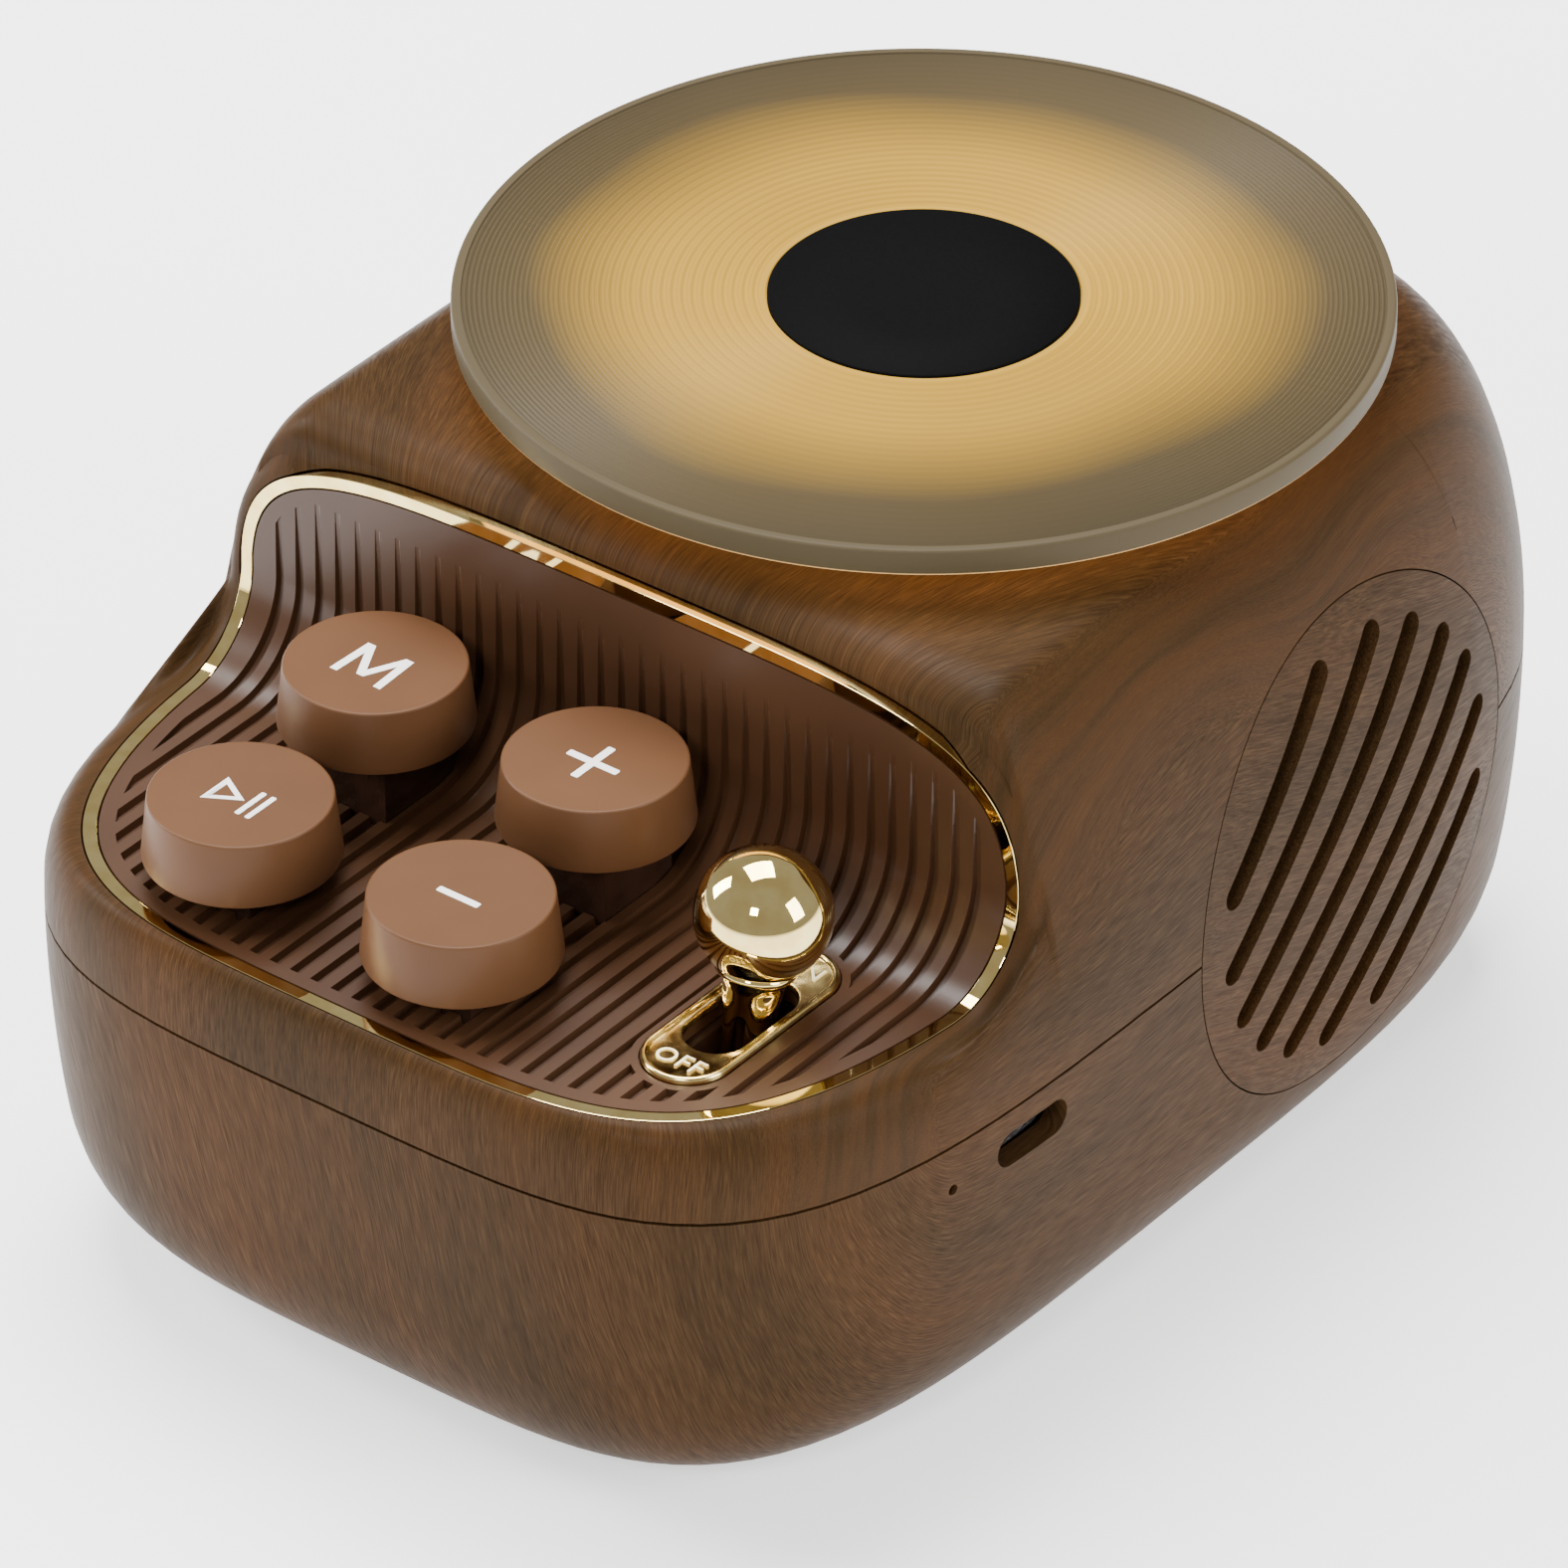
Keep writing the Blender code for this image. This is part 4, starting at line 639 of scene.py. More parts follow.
def crown_grain(tree, place):
    """Fibres fan out from the deck across the top and the front, and lie back along the flanks."""
    x, y, z = step(tree, "ShaderNodeSeparateXYZ", {0: place}).outputs
    heart = calc(tree, "MINIMUM", calc(tree, "MAXIMUM", x, -20.0), 20.0)
    out_x = calc(tree, "SUBTRACT", x, heart)
    out_y = calc(tree, "ADD", y, 46.0)
    square = calc(tree, "ADD", calc(tree, "MULTIPLY", out_x, out_x), calc(tree, "MULTIPLY", out_y, out_y))
    reach = calc(tree, "SQRT", square)
    spread = calc(tree, "DIVIDE", 45.0, calc(tree, "MAXIMUM", reach, 4.0))
    fan = joined(
        tree,
        calc(tree, "MULTIPLY_ADD", out_x, spread, heart),
        calc(tree, "MULTIPLY", out_y, spread),
        calc(tree, "SUBTRACT", reach, z),
    )
    past = calc(tree, "MAXIMUM", calc(tree, "ADD", y, 10.0), 0.0)
    past_squared = calc(tree, "MULTIPLY", past, past)
    rise = calc(tree, "MULTIPLY_ADD", past_squared, 0.004, calc(tree, "SUBTRACT", z, 38.0))
    back = calc(tree, "ADD", y, 75.0)
    angle = calc(tree, "ARCTAN2", rise, back)
    flank = joined(tree, calc(tree, "MULTIPLY", angle, 70.0), 200.0, back)
    side = between(tree, calc(tree, "ABSOLUTE", x), 38.0, 47.0)
    side = calc(tree, "MULTIPLY", side, between(tree, y, -60.0, -40.0))
    feeds = {"Factor": side, 4: fan, 5: flank}
    return step(tree, "ShaderNodeMix", feeds, data_type="VECTOR").outputs[1]


def tub_grain(tree, place):
    """Fibres hang down the front and turn to lie level along the flanks."""
    x, y, z = step(tree, "ShaderNodeSeparateXYZ", {0: place}).outputs
    lean = between(tree, y, -64.0, -38.0, 0.22, 1.0)
    across = calc(tree, "MULTIPLY_ADD", z, lean, x)
    along = calc(tree, "SUBTRACT", calc(tree, "MULTIPLY", y, 0.9), calc(tree, "MULTIPLY", z, 0.7))
    return joined(tree, across, 0.0, along)


def grille_grain(tree, place):
    """Fibres cross each round insert, dropping a little towards the back."""
    x, y, z = step(tree, "ShaderNodeSeparateXYZ", {0: place}).outputs
    across = calc(tree, "MULTIPLY_ADD", y, 0.36, z)
    return joined(tree, across, calc(tree, "MULTIPLY", x, 1.0), y)


def dress(piece, material):
    piece.data.materials.clear()
    piece.data.materials.append(material)
    return piece


def settle(piece, material, body, slot_name, *nodes):
    """A piece dressed and set on its body, standing for its CAD nodes, which it hides; its slot name is not
    used.
    """
    dress(piece, material)
    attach(piece, body)
    if nodes:
        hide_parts(*nodes)
    return piece


settle(crown, walnut("walnut_crown", crown_grain), "body", "shell", "upper_shell")
settle(tub, walnut("walnut_tub", tub_grain), "body", "shell", "lower_shell")

# ---- Side grilles -----------------------------------------------------------------------------------
# Round inserts in the same film, clipped flush into a port in each flank. Seven slots slant across each,
# with round ends, and the driver or the passive radiator plays through them.

GRILLE_SLOTS = 7
GRILLE_PITCH = 5.9 * MM
GRILLE_SLOT_WIDTH = 2.7 * MM
GRILLE_SLOT_REACH = 21.4 * MM
GRILLE_ANGLE = radians(45)
GRILLE_SKIRT_X = 43.1 * MM


def body_form(name, shrink, sink, turn_count, tub_count):
    """The whole body as one closed form."""
    floor = bottom_z + shrink
    rings = tub_rings(shrink, floor, seam_z, tub_count)
    steps = [radians(90) * k / turn_count for k in range(1, turn_count + 1)]
    return skinned(name, rings + [crown_ring(t, shrink, sink) for t in steps], "dome")


def row_tree(name, piece, count, *sizes):
    """A Geometry Nodes tree with named inputs: a piece to repeat, how many, sizes and a material."""
    tree = bpy.data.node_groups.new(name, "GeometryNodeTree")
    kinds = [(piece, "Geometry"), (count, "Int")] + [(size, "Float") for size in sizes]
    for socket, kind in kinds + [("Material", "Material")]:
        tree.interface.new_socket(socket, in_out="INPUT", socket_type="NodeSocket" + kind)
    tree.interface.new_socket("Result", in_out="OUTPUT", socket_type="NodeSocketGeometry")
    return tree, step(tree, "NodeGroupInput").outputs


def end_tree(tree, shape, material):
    """Ends a tree by giving its realized shape a material."""
    painted = step(tree, "GeometryNodeSetMaterial", {"Geometry": shape, "Material": material}).outputs[0]
    step(tree, "NodeGroupOutput", {0: painted})
    return tree


def slot_row_tree():
    """Cutters for a row of slots whose ends lie on a circle: straight bars, or the drums at their ends."""
    tree, given = row_tree("slot_row", "Cutter", "Slots", "Pitch", "Reach", "Inset", "End")
    row = step(tree, "GeometryNodeMeshLine", {"Count": given["Slots"]}).outputs[0]
    index = step(tree, "GeometryNodeInputIndex").outputs[0]
    middle = calc(tree, "DIVIDE", calc(tree, "SUBTRACT", given["Slots"], 1.0), 2.0)
    off = calc(tree, "MULTIPLY", calc(tree, "SUBTRACT", index, middle), given["Pitch"])
    off_squared = calc(tree, "MULTIPLY", off, off)
    square = calc(tree, "SUBTRACT", calc(tree, "POWER", given["Reach"], 2.0), off_squared)
    half = calc(tree, "SUBTRACT", calc(tree, "SQRT", square), given["Inset"])
    end = calc(tree, "MULTIPLY", half, given["End"])
    spot = step(tree, "ShaderNodeCombineXYZ", {0: off, 1: end}).outputs[0]
    placed = step(tree, "GeometryNodeSetPosition", {"Geometry": row, "Position": spot}).outputs[0]
    bar = calc(tree, "SUBTRACT", 1.0, calc(tree, "ABSOLUTE", given["End"]))
    long = calc(tree, "ADD", calc(tree, "MULTIPLY", calc(tree, "SUBTRACT", half, 1.0), bar), 1.0)
    size = step(tree, "ShaderNodeCombineXYZ", {0: 1.0, 1: long, 2: 1.0}).outputs[0]
    feeds = {"Points": placed, "Instance": given["Cutter"], "Scale": size}
    copies = step(tree, "GeometryNodeInstanceOnPoints", feeds).outputs[0]
    whole = step(tree, "GeometryNodeRealizeInstances", {0: copies}).outputs[0]
    return end_tree(tree, whole, given["Material"])


def grown(name, seed, tree, values):
    """A seed mesh run through a Geometry Nodes tree, with its named inputs set, as a plain mesh object."""
    change = seed.modifiers.new("grow", "NODES")
    change.node_group = tree
    for item in tree.interface.items_tree:
        if item.item_type == "SOCKET" and item.in_out == "INPUT" and item.name in values:
            change[item.identifier] = values[item.name]
    mesh = evaluated_mesh(seed)
    seed.modifiers.clear()
    bpy.data.objects.remove(seed, do_unlink=True)
    return finished(name, mesh)


slot_rows = slot_row_tree()
grille_walnut = walnut("walnut_grille", grille_grain)
slot_half = GRILLE_SLOT_WIDTH / 2
for side, sign in (("right", 1), ("left", -1)):
    near, far = sorted((sign * 30 * MM, sign * 60 * MM))
    at = (grille_y, grille_z)
    insert = body_form("insert_" + side, 0.0, 0.0, 24, 30)
    carve(insert, drum("rim", grille_radius - FIT, near, far, at, "X", 160), "INTERSECT")
    hollow = body_form("hollow", WALL, TOP_WALL, 6, 8)
    carve(hollow, drum("bore", grille_radius - 2.0 * MM, near, far, at, "X"), "INTERSECT")
    carve(insert, hollow)
    near, far = sorted((sign * 20 * MM, sign * GRILLE_SKIRT_X))
    behind = [(grille_y + u * 40 * MM, v * 80 * MM) for u, v in ((-1, 0), (1, 0), (1, 1), (-1, 1))]
    carve(insert, prism("behind", behind, near, far, "X"))
    for end in (0.0, -1.0, 1.0):
        if end:
            seed = drum("seed", slot_half, -14 * MM, 14 * MM, steps=32)
        else:
            square = [(-slot_half, -1.0), (slot_half, -1.0), (slot_half, 1.0), (-slot_half, 1.0)]
            seed = prism("seed", square, -14 * MM, 14 * MM, "Z")
        values = {
            "Slots": GRILLE_SLOTS,
            "Pitch": GRILLE_PITCH,
            "Reach": GRILLE_SLOT_REACH,
            "Inset": slot_half,
            "End": end,
            "Material": grille_walnut,
        }
        row = grown("slot_cutters", seed, slot_rows, values)
        stand = Matrix(((0, 0, sign, sign * 48 * MM), (1, 0, 0, grille_y), (0, 1, 0, grille_z), (0, 0, 0, 1)))
        row.data.transform(stand @ Matrix.Rotation(GRILLE_ANGLE - pi / 2, 4, "Z"))
        if sign < 0:
            row.data.flip_normals()
        carve(insert, row)
    reshade(insert, 34)
    settle(insert, grille_walnut, "body", "shell", "grille_" + side)

# ---- Trim ring --------------------------------------------------------------------------------------
# A band of polished, gold-plated metal let in flush round the deck. It runs along the floor at the front
# and the sides, climbs the fillet and crosses the top of the back wall, with a hair of shadow either side.

RING_WIDTH = 1.3 * MM
RING_THICK = 1.6 * MM
RING_ROUND = 0.06 * MM


def ring_path():
    """The right-hand half of the ring's outer edge, as (place, face normal), from front to top middle."""
    path = []
    power, steep = 2 / PLAN_POWER, 2 / DECK_WALL_POWER
    front = -DECK_FRONT_Y
    tall = DECK_TOP_Z - DECK_Z
    for k in range(49):
        a = radians(75) * k / 48
        path.append((DECK_HALF_WIDTH * sin(a) ** power, -front * cos(a) ** power, DECK_Z, (0, 0, 1)))
    path = [p for p in path if p[1] < fillet_start - 0.5 * MM]
    for k in range(25):
        a = -pi / 2 + pi / 2 * k / 24
        y = fillet_start + DECK_FILLET * cos(a)
        z = DECK_Z + DECK_FILLET + DECK_FILLET * sin(a)
        x = min(oval_x(y, DECK_HALF_WIDTH, front), oval_x(z - DECK_Z, DECK_HALF_WIDTH, tall, DECK_WALL_POWER))
        path.append((x, y, z, (0, -cos(a), -sin(a))))
    for k in range(1, 57):
        a = radians(82.5) * (1 - k / 56)
        x = min(oval_x(DECK_WALL_Y, DECK_HALF_WIDTH, front), DECK_HALF_WIDTH * sin(a) ** steep)
        z = DECK_Z + tall * cos(a) ** steep
        if z > DECK_Z + DECK_FILLET + 0.3 * MM:
            path.append((x, DECK_WALL_Y, z, (0, -1, 0)))
    return path


half = ring_path()
loop = [(Vector(p[:3]), Vector(p[3])) for p in half]
loop += [(Vector((-p[0], p[1], p[2])), Vector(p[3])) for p in reversed(half[1:-1])]
section = [
    (0.0, -RING_THICK),
    (0.0, -RING_ROUND),
    (0.3 * RING_ROUND, -0.3 * RING_ROUND),
    (RING_ROUND, 0.0),
    (RING_WIDTH - RING_ROUND, 0.0),
    (RING_WIDTH - 0.3 * RING_ROUND, -0.3 * RING_ROUND),
    (RING_WIDTH, -RING_ROUND),
    (RING_WIDTH, -RING_THICK),
]
rings = []
for inward, rise in section:
    ring = []
    for i, (spot, normal) in enumerate(loop):
        along = (loop[(i + 1) % len(loop)][0] - loop[i - 1][0]).normalized()
        ring.append(spot + normal.cross(along).normalized() * inward + normal * rise)
    rings.append(ring)
trim = skinned("trim", rings, "loop", 20)


def plated_gold(name, roughness, scale):
    """Gold plate over brass: a mirror finish with faint, uneven polishing."""
    material, tree, shader = finish(name, Metallic=1.0, Roughness=roughness)
    place = in_millimetres(tree)
    wear = speckle(tree, place, (scale, scale, scale), 1.0, 3.0, 0.5)
    tinted(tree, shader, wear, (0.35, (0.74, 0.55, 0.20)), (0.65, (0.86, 0.68, 0.29)))
    dulled(tree, shader, wear, roughness * 0.7, roughness * 1.5)
    return material


gold = plated_gold("polished_gold", 0.035, 0.4)
settle(trim, gold, "body", "trim", "trim_ring")

# ---- Control deck -----------------------------------------------------------------------------------
# A satin brown moulding that fills the scoop. Straight grooves run from front to back across its floor,
# round the fillet and up the back wall, where they die away, and stop short of the ring and the switch.

GROOVES = 37
GROOVE_PITCH = 2.34 * MM
GROOVE_WIDTH = 1.15 * MM
GROOVE_DEPTH = 0.7 * MM
GROOVE_MARGIN = 1.5 * MM
GROOVE_FADE = (48 * MM, 64 * MM)
PLATE_MARGIN = 0.9 * MM

deck_edge = RING_WIDTH + FIT
deck = deck_block("deck", deck_face(0.0) + list(reversed(deck_face(DECK_THICK))), deck_edge)


def groove_bar():
    """One groove's cutter: a tapered bar that follows the deck's face and rises out of it up the wall."""
    path = [(DECK_FRONT_Y - 2 * MM, DECK_Z, 0, 1)]
    path += [(DECK_FRONT_Y + (fillet_start - DECK_FRONT_Y) * k / 4, DECK_Z, 0, 1) for k in range(1, 4)]
    for k in range(49):
        a = -pi / 2 + pi / 2 * k / 48
        ny, nz = -cos(a), -sin(a)
        path.append((fillet_start - DECK_FILLET * ny, DECK_Z + DECK_FILLET - DECK_FILLET * nz, ny, nz))
    path += [(DECK_WALL_Y, DECK_Z + DECK_FILLET + k * 1.2 * MM, -1, 0) for k in range(1, 13)]
    rings = []
    for y, z, ny, nz in path:
        fade = min(1.0, max(0.0, (GROOVE_FADE[1] - z) / (GROOVE_FADE[1] - GROOVE_FADE[0])))
        depth = GROOVE_DEPTH * fade - 0.05 * MM * (1 - fade)
        ring = []
        right = ((0.66, -depth), (1, 0.0), (1, 1.2 * MM))
        for across, high in [(-across, high) for across, high in reversed(right)] + list(right):
            width = GROOVE_WIDTH / 2 * across * (0.45 + 0.55 * fade)
            ring.append((width, y + ny * high, z + nz * high))
        rings.append(ring)
    return skinned("groove", rings, "flat")


def groove_row_tree():
    """A row of like pieces, side by side across the deck."""
    tree, given = row_tree("groove_row", "Groove", "Grooves", "Pitch")
    half_row = calc(tree, "MULTIPLY", calc(tree, "SUBTRACT", 1.0, given["Grooves"]), 0.5)
    first_x = calc(tree, "MULTIPLY", half_row, given["Pitch"])
    first = step(tree, "ShaderNodeCombineXYZ", {0: first_x}).outputs[0]
    offset = step(tree, "ShaderNodeCombineXYZ", {0: given["Pitch"]}).outputs[0]
    feeds = {"Count": given["Grooves"], "Start Location": first, "Offset": offset}
    row = step(tree, "GeometryNodeMeshLine", feeds).outputs[0]
    feeds = {"Points": row, "Instance": given["Groove"]}
    copies = step(tree, "GeometryNodeInstanceOnPoints", feeds).outputs[0]
    whole = step(tree, "GeometryNodeRealizeInstances", {0: copies}).outputs[0]
    return end_tree(tree, whole, given["Material"])


deck_brown, deck_tree, deck_shader = finish("deck_brown", Roughness=0.3, Specular_IOR_Level=0.28)
deck_place = in_millimetres(deck_tree)
cloud = speckle(deck_tree, deck_place, (0.05, 0.03, 0.05), 1.0, 2.0, 0.5)
tinted(deck_tree, deck_shader, cloud, (0.35, (0.040, 0.0170, 0.0075)), (0.65, (0.054, 0.0235, 0.0105)))
mould = speckle(deck_tree, deck_place, (6.0, 6.0, 6.0), 1.0, 2.0, 0.5)
dulled(deck_tree, deck_shader, mould, 0.29, 0.32)

plate_low, plate_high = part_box("toggle_plate")
toggle_x = (plate_low.x + plate_high.x) / 2
toggle_y = (plate_low.y + plate_high.y) / 2
plate_half_length = (plate_high.y - plate_low.y) / 2
plate_half_width = (plate_high.x - plate_low.x) / 2
toggle_at = (toggle_x, toggle_y)
values = {"Grooves": GROOVES, "Pitch": GROOVE_PITCH, "Material": deck_brown}
grooves = grown("groove_cutters", groove_bar(), groove_row_tree(), values)
band = deck_face(-3 * MM) + list(reversed(deck_face(2.5 * MM)))
field = deck_block("groove_field", band, deck_edge + GROOVE_MARGIN)
around_plate = stadium(plate_half_length + PLATE_MARGIN, plate_half_width + PLATE_MARGIN, 20, toggle_at)
carve(field, prism("plate_margin", around_plate, 30 * MM, 60 * MM, "Z"))
carve(grooves, field, "INTERSECT")
carve(deck, grooves)

SLOT_HALF_LENGTH = 6.4 * MM
SLOT_HALF_WIDTH = 3.05 * MM
pocket = stadium(plate_half_length + FIT, plate_half_width + FIT, 24, toggle_at)
carve(deck, prism("pocket", pocket, plate_low.z - FIT, 60 * MM, "Z"))
way = stadium(SLOT_HALF_LENGTH + GAP, SLOT_HALF_WIDTH + GAP, 24, toggle_at)
carve(deck, prism("toggle_way", way, 30 * MM, 60 * MM, "Z"))
KEYS = ("mode", "play", "plus", "minus")
TOWER_HEAD = 8.8 * MM
for key in KEYS:
    low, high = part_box("tower_" + key)
    middle = (low + high) / 2
    base = (high.x - low.x) / 2
    head = TOWER_HEAD / 2
    rings = []
    for z in (low.z, high.z):
        half = (base if z == low.z else head) + FIT
        corners = ((-1, -1), (1, -1), (1, 1), (-1, 1))
        rings.append([(middle.x + half * u, middle.y + half * v, z) for u, v in corners])
    carve(deck, skinned("tower_hole", rings, "flat"))
reshade(deck, 2.6)
settle(deck, deck_brown, "body", "deck", "control_deck")

# ---- Keys -------------------------------------------------------------------------------------------
# Four round, satin caramel caps, drawn like typewriter keys: a flat top with a fine round edge and a skirt
# that flares a little. Each is printed in white and sits on a square, tapered brown tower over a spring.

CAP_TOP_RADIUS = 8.45 * MM
CAP_SKIRT_RADIUS = 9.1 * MM
CAP_HEIGHT = 6.2 * MM
CAP_WALL = 1.3 * MM
CAP_EDGE = 0.22 * MM
INK = 0.05 * MM
MARK_SHIFT = (0.2, 0.6)

caramel, cap_tree, cap_shader = finish("cap_caramel", Roughness=0.38, Specular_IOR_Level=0.14)
cap_place = in_millimetres(cap_tree)
cloud = speckle(cap_tree, cap_place, (0.09, 0.09, 0.09), 1.0, 2.0, 0.5)
tinted(cap_tree, cap_shader, cloud, (0.35, (0.084, 0.0365, 0.0150)), (0.65, (0.095, 0.0415, 0.0172)))
grit = speckle(cap_tree, cap_place, (14.0, 14.0, 14.0), 1.0, 2.0, 0.5)
dulled(cap_tree, cap_shader, grit, 0.36, 0.44)
embossed(cap_tree, cap_shader, grit, 0.05, 0.00005)

ink_white, ink_tree, ink_shader = finish("printed_white", Roughness=0.45)
clouded(ink_tree, ink_shader, (3.0, 3.0, 3.0), (0.3, (0.82, 0.79, 0.76)), (0.7, (0.92, 0.90, 0.88)))


def bar(cx, cy, wide, tall):
    """A stroke's outline, its corners just rounded."""
    w, h, r = wide / 2, tall / 2, 0.16
    arc_starts = ((w - r, h - r, 0), (r - w, h - r, 90), (r - w, r - h, 180), (w - r, r - h, 270))
    line = []
    for u, v, start in arc_starts:
        for k in range(4):
            a = radians(start + 30 * k)
            line.append((cx + u + r * cos(a), cy + v + r * sin(a)))
    return line


letter_m = [(-2.9, -2.6), (-2.65, 2.6), (-1.75, 2.6), (0.0, -0.9), (1.75, 2.6), (2.65, 2.6), (2.9, -2.6)]
letter_m += [(2.1, -2.6), (1.9, 1.2), (0.38, -1.9), (-0.38, -1.9), (-1.9, 1.2), (-2.1, -2.6)]
arrow = [(-2.75, -2.0), (0.75, 0.0), (-2.75, 2.0)]
arrow_hole = [(-2.2, -1.1), (-0.25, 0.0), (-2.2, 1.1)]
symbols = {
    "mode": [letter_m],
    "play": [arrow, bar(1.45, 0.0, 0.55, 4.0), bar(2.6, 0.0, 0.55, 4.0)],
    "plus": [bar(0.0, 0.0, 5.6, 0.8), bar(0.0, 0.0, 0.8, 5.6)],
    "minus": [bar(0.0, 0.0, 4.6, 0.75)],
}


def on_cap(outline, centre):
    """A symbol's outline, in millimetres, set a hair off the middle of a cap."""
    across, down = MARK_SHIFT
    return [(centre.x + (u + across) * MM, centre.y + (v - down) * MM) for u, v in outline]


for key in KEYS:
    low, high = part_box("keycap_" + key)
    centre = (low + high) / 2
    top = high.z
    skirt_z = top - CAP_HEIGHT
    profile = [(0.0, top)]
    profile += [(CAP_TOP_RADIUS * 0.5, top), (CAP_TOP_RADIUS - CAP_EDGE - 0.12 * MM, top)]
    for k in range(6):
        a = radians(90 - 18 * k)
        profile.append((CAP_TOP_RADIUS - CAP_EDGE * (1 - cos(a)), top - CAP_EDGE * (1 - sin(a))))
    profile += [
        (CAP_TOP_RADIUS + 0.015 * MM, top - CAP_EDGE - 0.12 * MM),
        (CAP_SKIRT_RADIUS - 0.02 * MM, skirt_z + 0.3 * MM),
        (CAP_SKIRT_RADIUS - 0.1 * MM, skirt_z + 0.08 * MM),
        (CAP_SKIRT_RADIUS - 0.3 * MM, skirt_z),
        (CAP_SKIRT_RADIUS - CAP_WALL, skirt_z),
        (CAP_TOP_RADIUS - CAP_WALL, top - CAP_WALL - 0.5 * MM),
        (0.0, top - CAP_WALL - 0.5 * MM),
    ]
    cap = lathed("cap_" + key, profile, 96, (centre.x, centre.y, 0.0), sharp=40)
    settle(cap, caramel, "key_" + key, "keycap", "keycap_" + key)
    mark = None
    for outline in symbols[key]:
        stroke = prism("mark_" + key, on_cap(outline, centre), top - 2 * INK, top + INK, "Z")
        mark = carve(mark, stroke, "UNION") if mark else stroke
    if key == "play":
        carve(mark, prism("arrow_hole", on_cap(arrow_hole, centre), top - 1 * MM, top + 1 * MM, "Z"))
    mark.name = "mark_" + key
    settle(mark, ink_white, "key_" + key, "keycap")

tower_brown, tower_tree, tower_shader = finish("tower_brown", Roughness=0.22, Specular_IOR_Level=0.4)
tower_tones = ((0.35, (0.022, 0.010, 0.006)), (0.65, (0.034, 0.015, 0.009)))
clouded(tower_tree, tower_shader, (0.3, 0.3, 0.15), *tower_tones)

# ---- Ball toggle ------------------------------------------------------------------------------------
# A turned and gold-plated lever: a ball over a flared collar and a waisted stem, leaning to its ON stop. It
# rocks in a slot in a gold plate with a raised bead round its rim and two words in frosted relief.

TOGGLE_TILT = radians(12)
TOGGLE_PIVOT_Z = 38.0 * MM
TOGGLE_LENGTH = 16.0 * MM
BALL_RADIUS = 6.25 * MM
WORD_HEIGHT = 2.0 * MM
LETTER_SCALE = 1.36
WORD_RISE = 0.08 * MM

profile = []
for k in range(33):
    a = pi / 2 - (pi / 2 + radians(50)) * k / 32
    profile.append((BALL_RADIUS * max(0.0, cos(a)) if k else 0.0, TOGGLE_LENGTH + BALL_RADIUS * sin(a)))
collar = ((3.55, 11.0), (3.65, 10.85), (3.68, 10.65), (3.6, 10.4), (3.3, 10.1), (3.0, 9.7), (2.8, 9.1))
stem = ((2.65, 8.2), (2.5, 7.0), (2.35, 5.6), (2.2, 4.2), (2.1, 2.6), (2.1, 1.6), (2.1, -1.4))
tail = ((1.3, -2.4), (1.1, -4.2), (0.0, -4.2))
profile += [(r * MM, z * MM) for r, z in collar + stem + tail]
lean = Matrix.Rotation(-TOGGLE_TILT, 4, "X")
lever = lathed("ball_lever", profile, 96, (toggle_x, toggle_y, TOGGLE_PIVOT_Z), lean, 50)
eye = drum("eye", 0.95 * MM, toggle_x - 6 * MM, toggle_x + 6 * MM, (toggle_y, TOGGLE_PIVOT_Z), "X", 32)
carve(lever, eye)
reshade(lever, 50)
settle(lever, gold, "toggle", "trim", "toggle_lever")

bead = ((0.0, 0.3), (0.06, 0.12), (0.2, 0.02), (0.35, 0.0))
bead += ((0.5, 0.02), (0.64, 0.12), (0.7, 0.28), (0.78, 0.32))
levels = [(0.0, plate_low.z)]
levels += [(inward * MM, plate_high.z - down * MM) for inward, down in bead]
rings = []
for inward, z in levels:
    line = stadium(plate_half_length - inward, plate_half_width - inward, 24, toggle_at)
    rings.append([(u, v, z) for u, v in line])
bead_reach, plate_face = levels[-1]
slot_levels = [
    (0.3 * MM, plate_face),
    (0.1 * MM, plate_face - 0.06 * MM),
    (0.0, plate_face - 0.25 * MM),
    (0.0, plate_low.z),
]
for outward, z in slot_levels:
    line = stadium(SLOT_HALF_LENGTH + outward, SLOT_HALF_WIDTH + outward, 24, toggle_at)
    rings.append([(u, v, z) for u, v in line])
plate = skinned("switch_plate", rings, "loop", 40)


def word(text, at, height, low, high):
    """A short word as solid letters standing between two heights."""
    curve = bpy.data.curves.new(text, "FONT")
    curve.body = text
    curve.align_x = "CENTER"
    curve.align_y = "CENTER"
    curve.size = height * LETTER_SCALE
    curve.resolution_u = 4
    curve.space_character = 1.12
    curve.extrude = (high - low) / 2
    shape = filled(curve)
    bmesh.ops.translate(shape, vec=(at[0], at[1], (low + high) / 2), verts=shape.verts)
    return solid("word", shape)


word_reach = (plate_half_length - bead_reach + SLOT_HALF_LENGTH) / 2 + 0.1 * MM
letter_gold, letter_tree, letter_shader = finish("frosted_gold", Metallic=1.0, Roughness=0.5)
letter_tones = ((0.3, (0.92, 0.80, 0.48)), (0.7, (0.98, 0.88, 0.58)))
clouded(letter_tree, letter_shader, (4.0, 4.0, 4.0), *letter_tones)
for text, end in (("OFF", -1), ("ON", 1)):
    spot = (toggle_x, toggle_y + end * word_reach)
    letters = word(text, spot, WORD_HEIGHT, plate_face - WORD_RISE, plate_face + WORD_RISE)
    letters.name = "word_" + text.lower()
    settle(letters, letter_gold, "body", "trim")
satin_gold = plated_gold("satin_gold", 0.16, 0.6)
settle(plate, satin_gold, "body", "trim", "toggle_plate")

# ---- Record disc ------------------------------------------------------------------------------------
# A disc of frosted amber acrylic, cut with fine rings like a record and lit from the lamp below, so that it
# glows from its black label outward and fades to smoky tan at the rim. It turns on the motor's shaft.

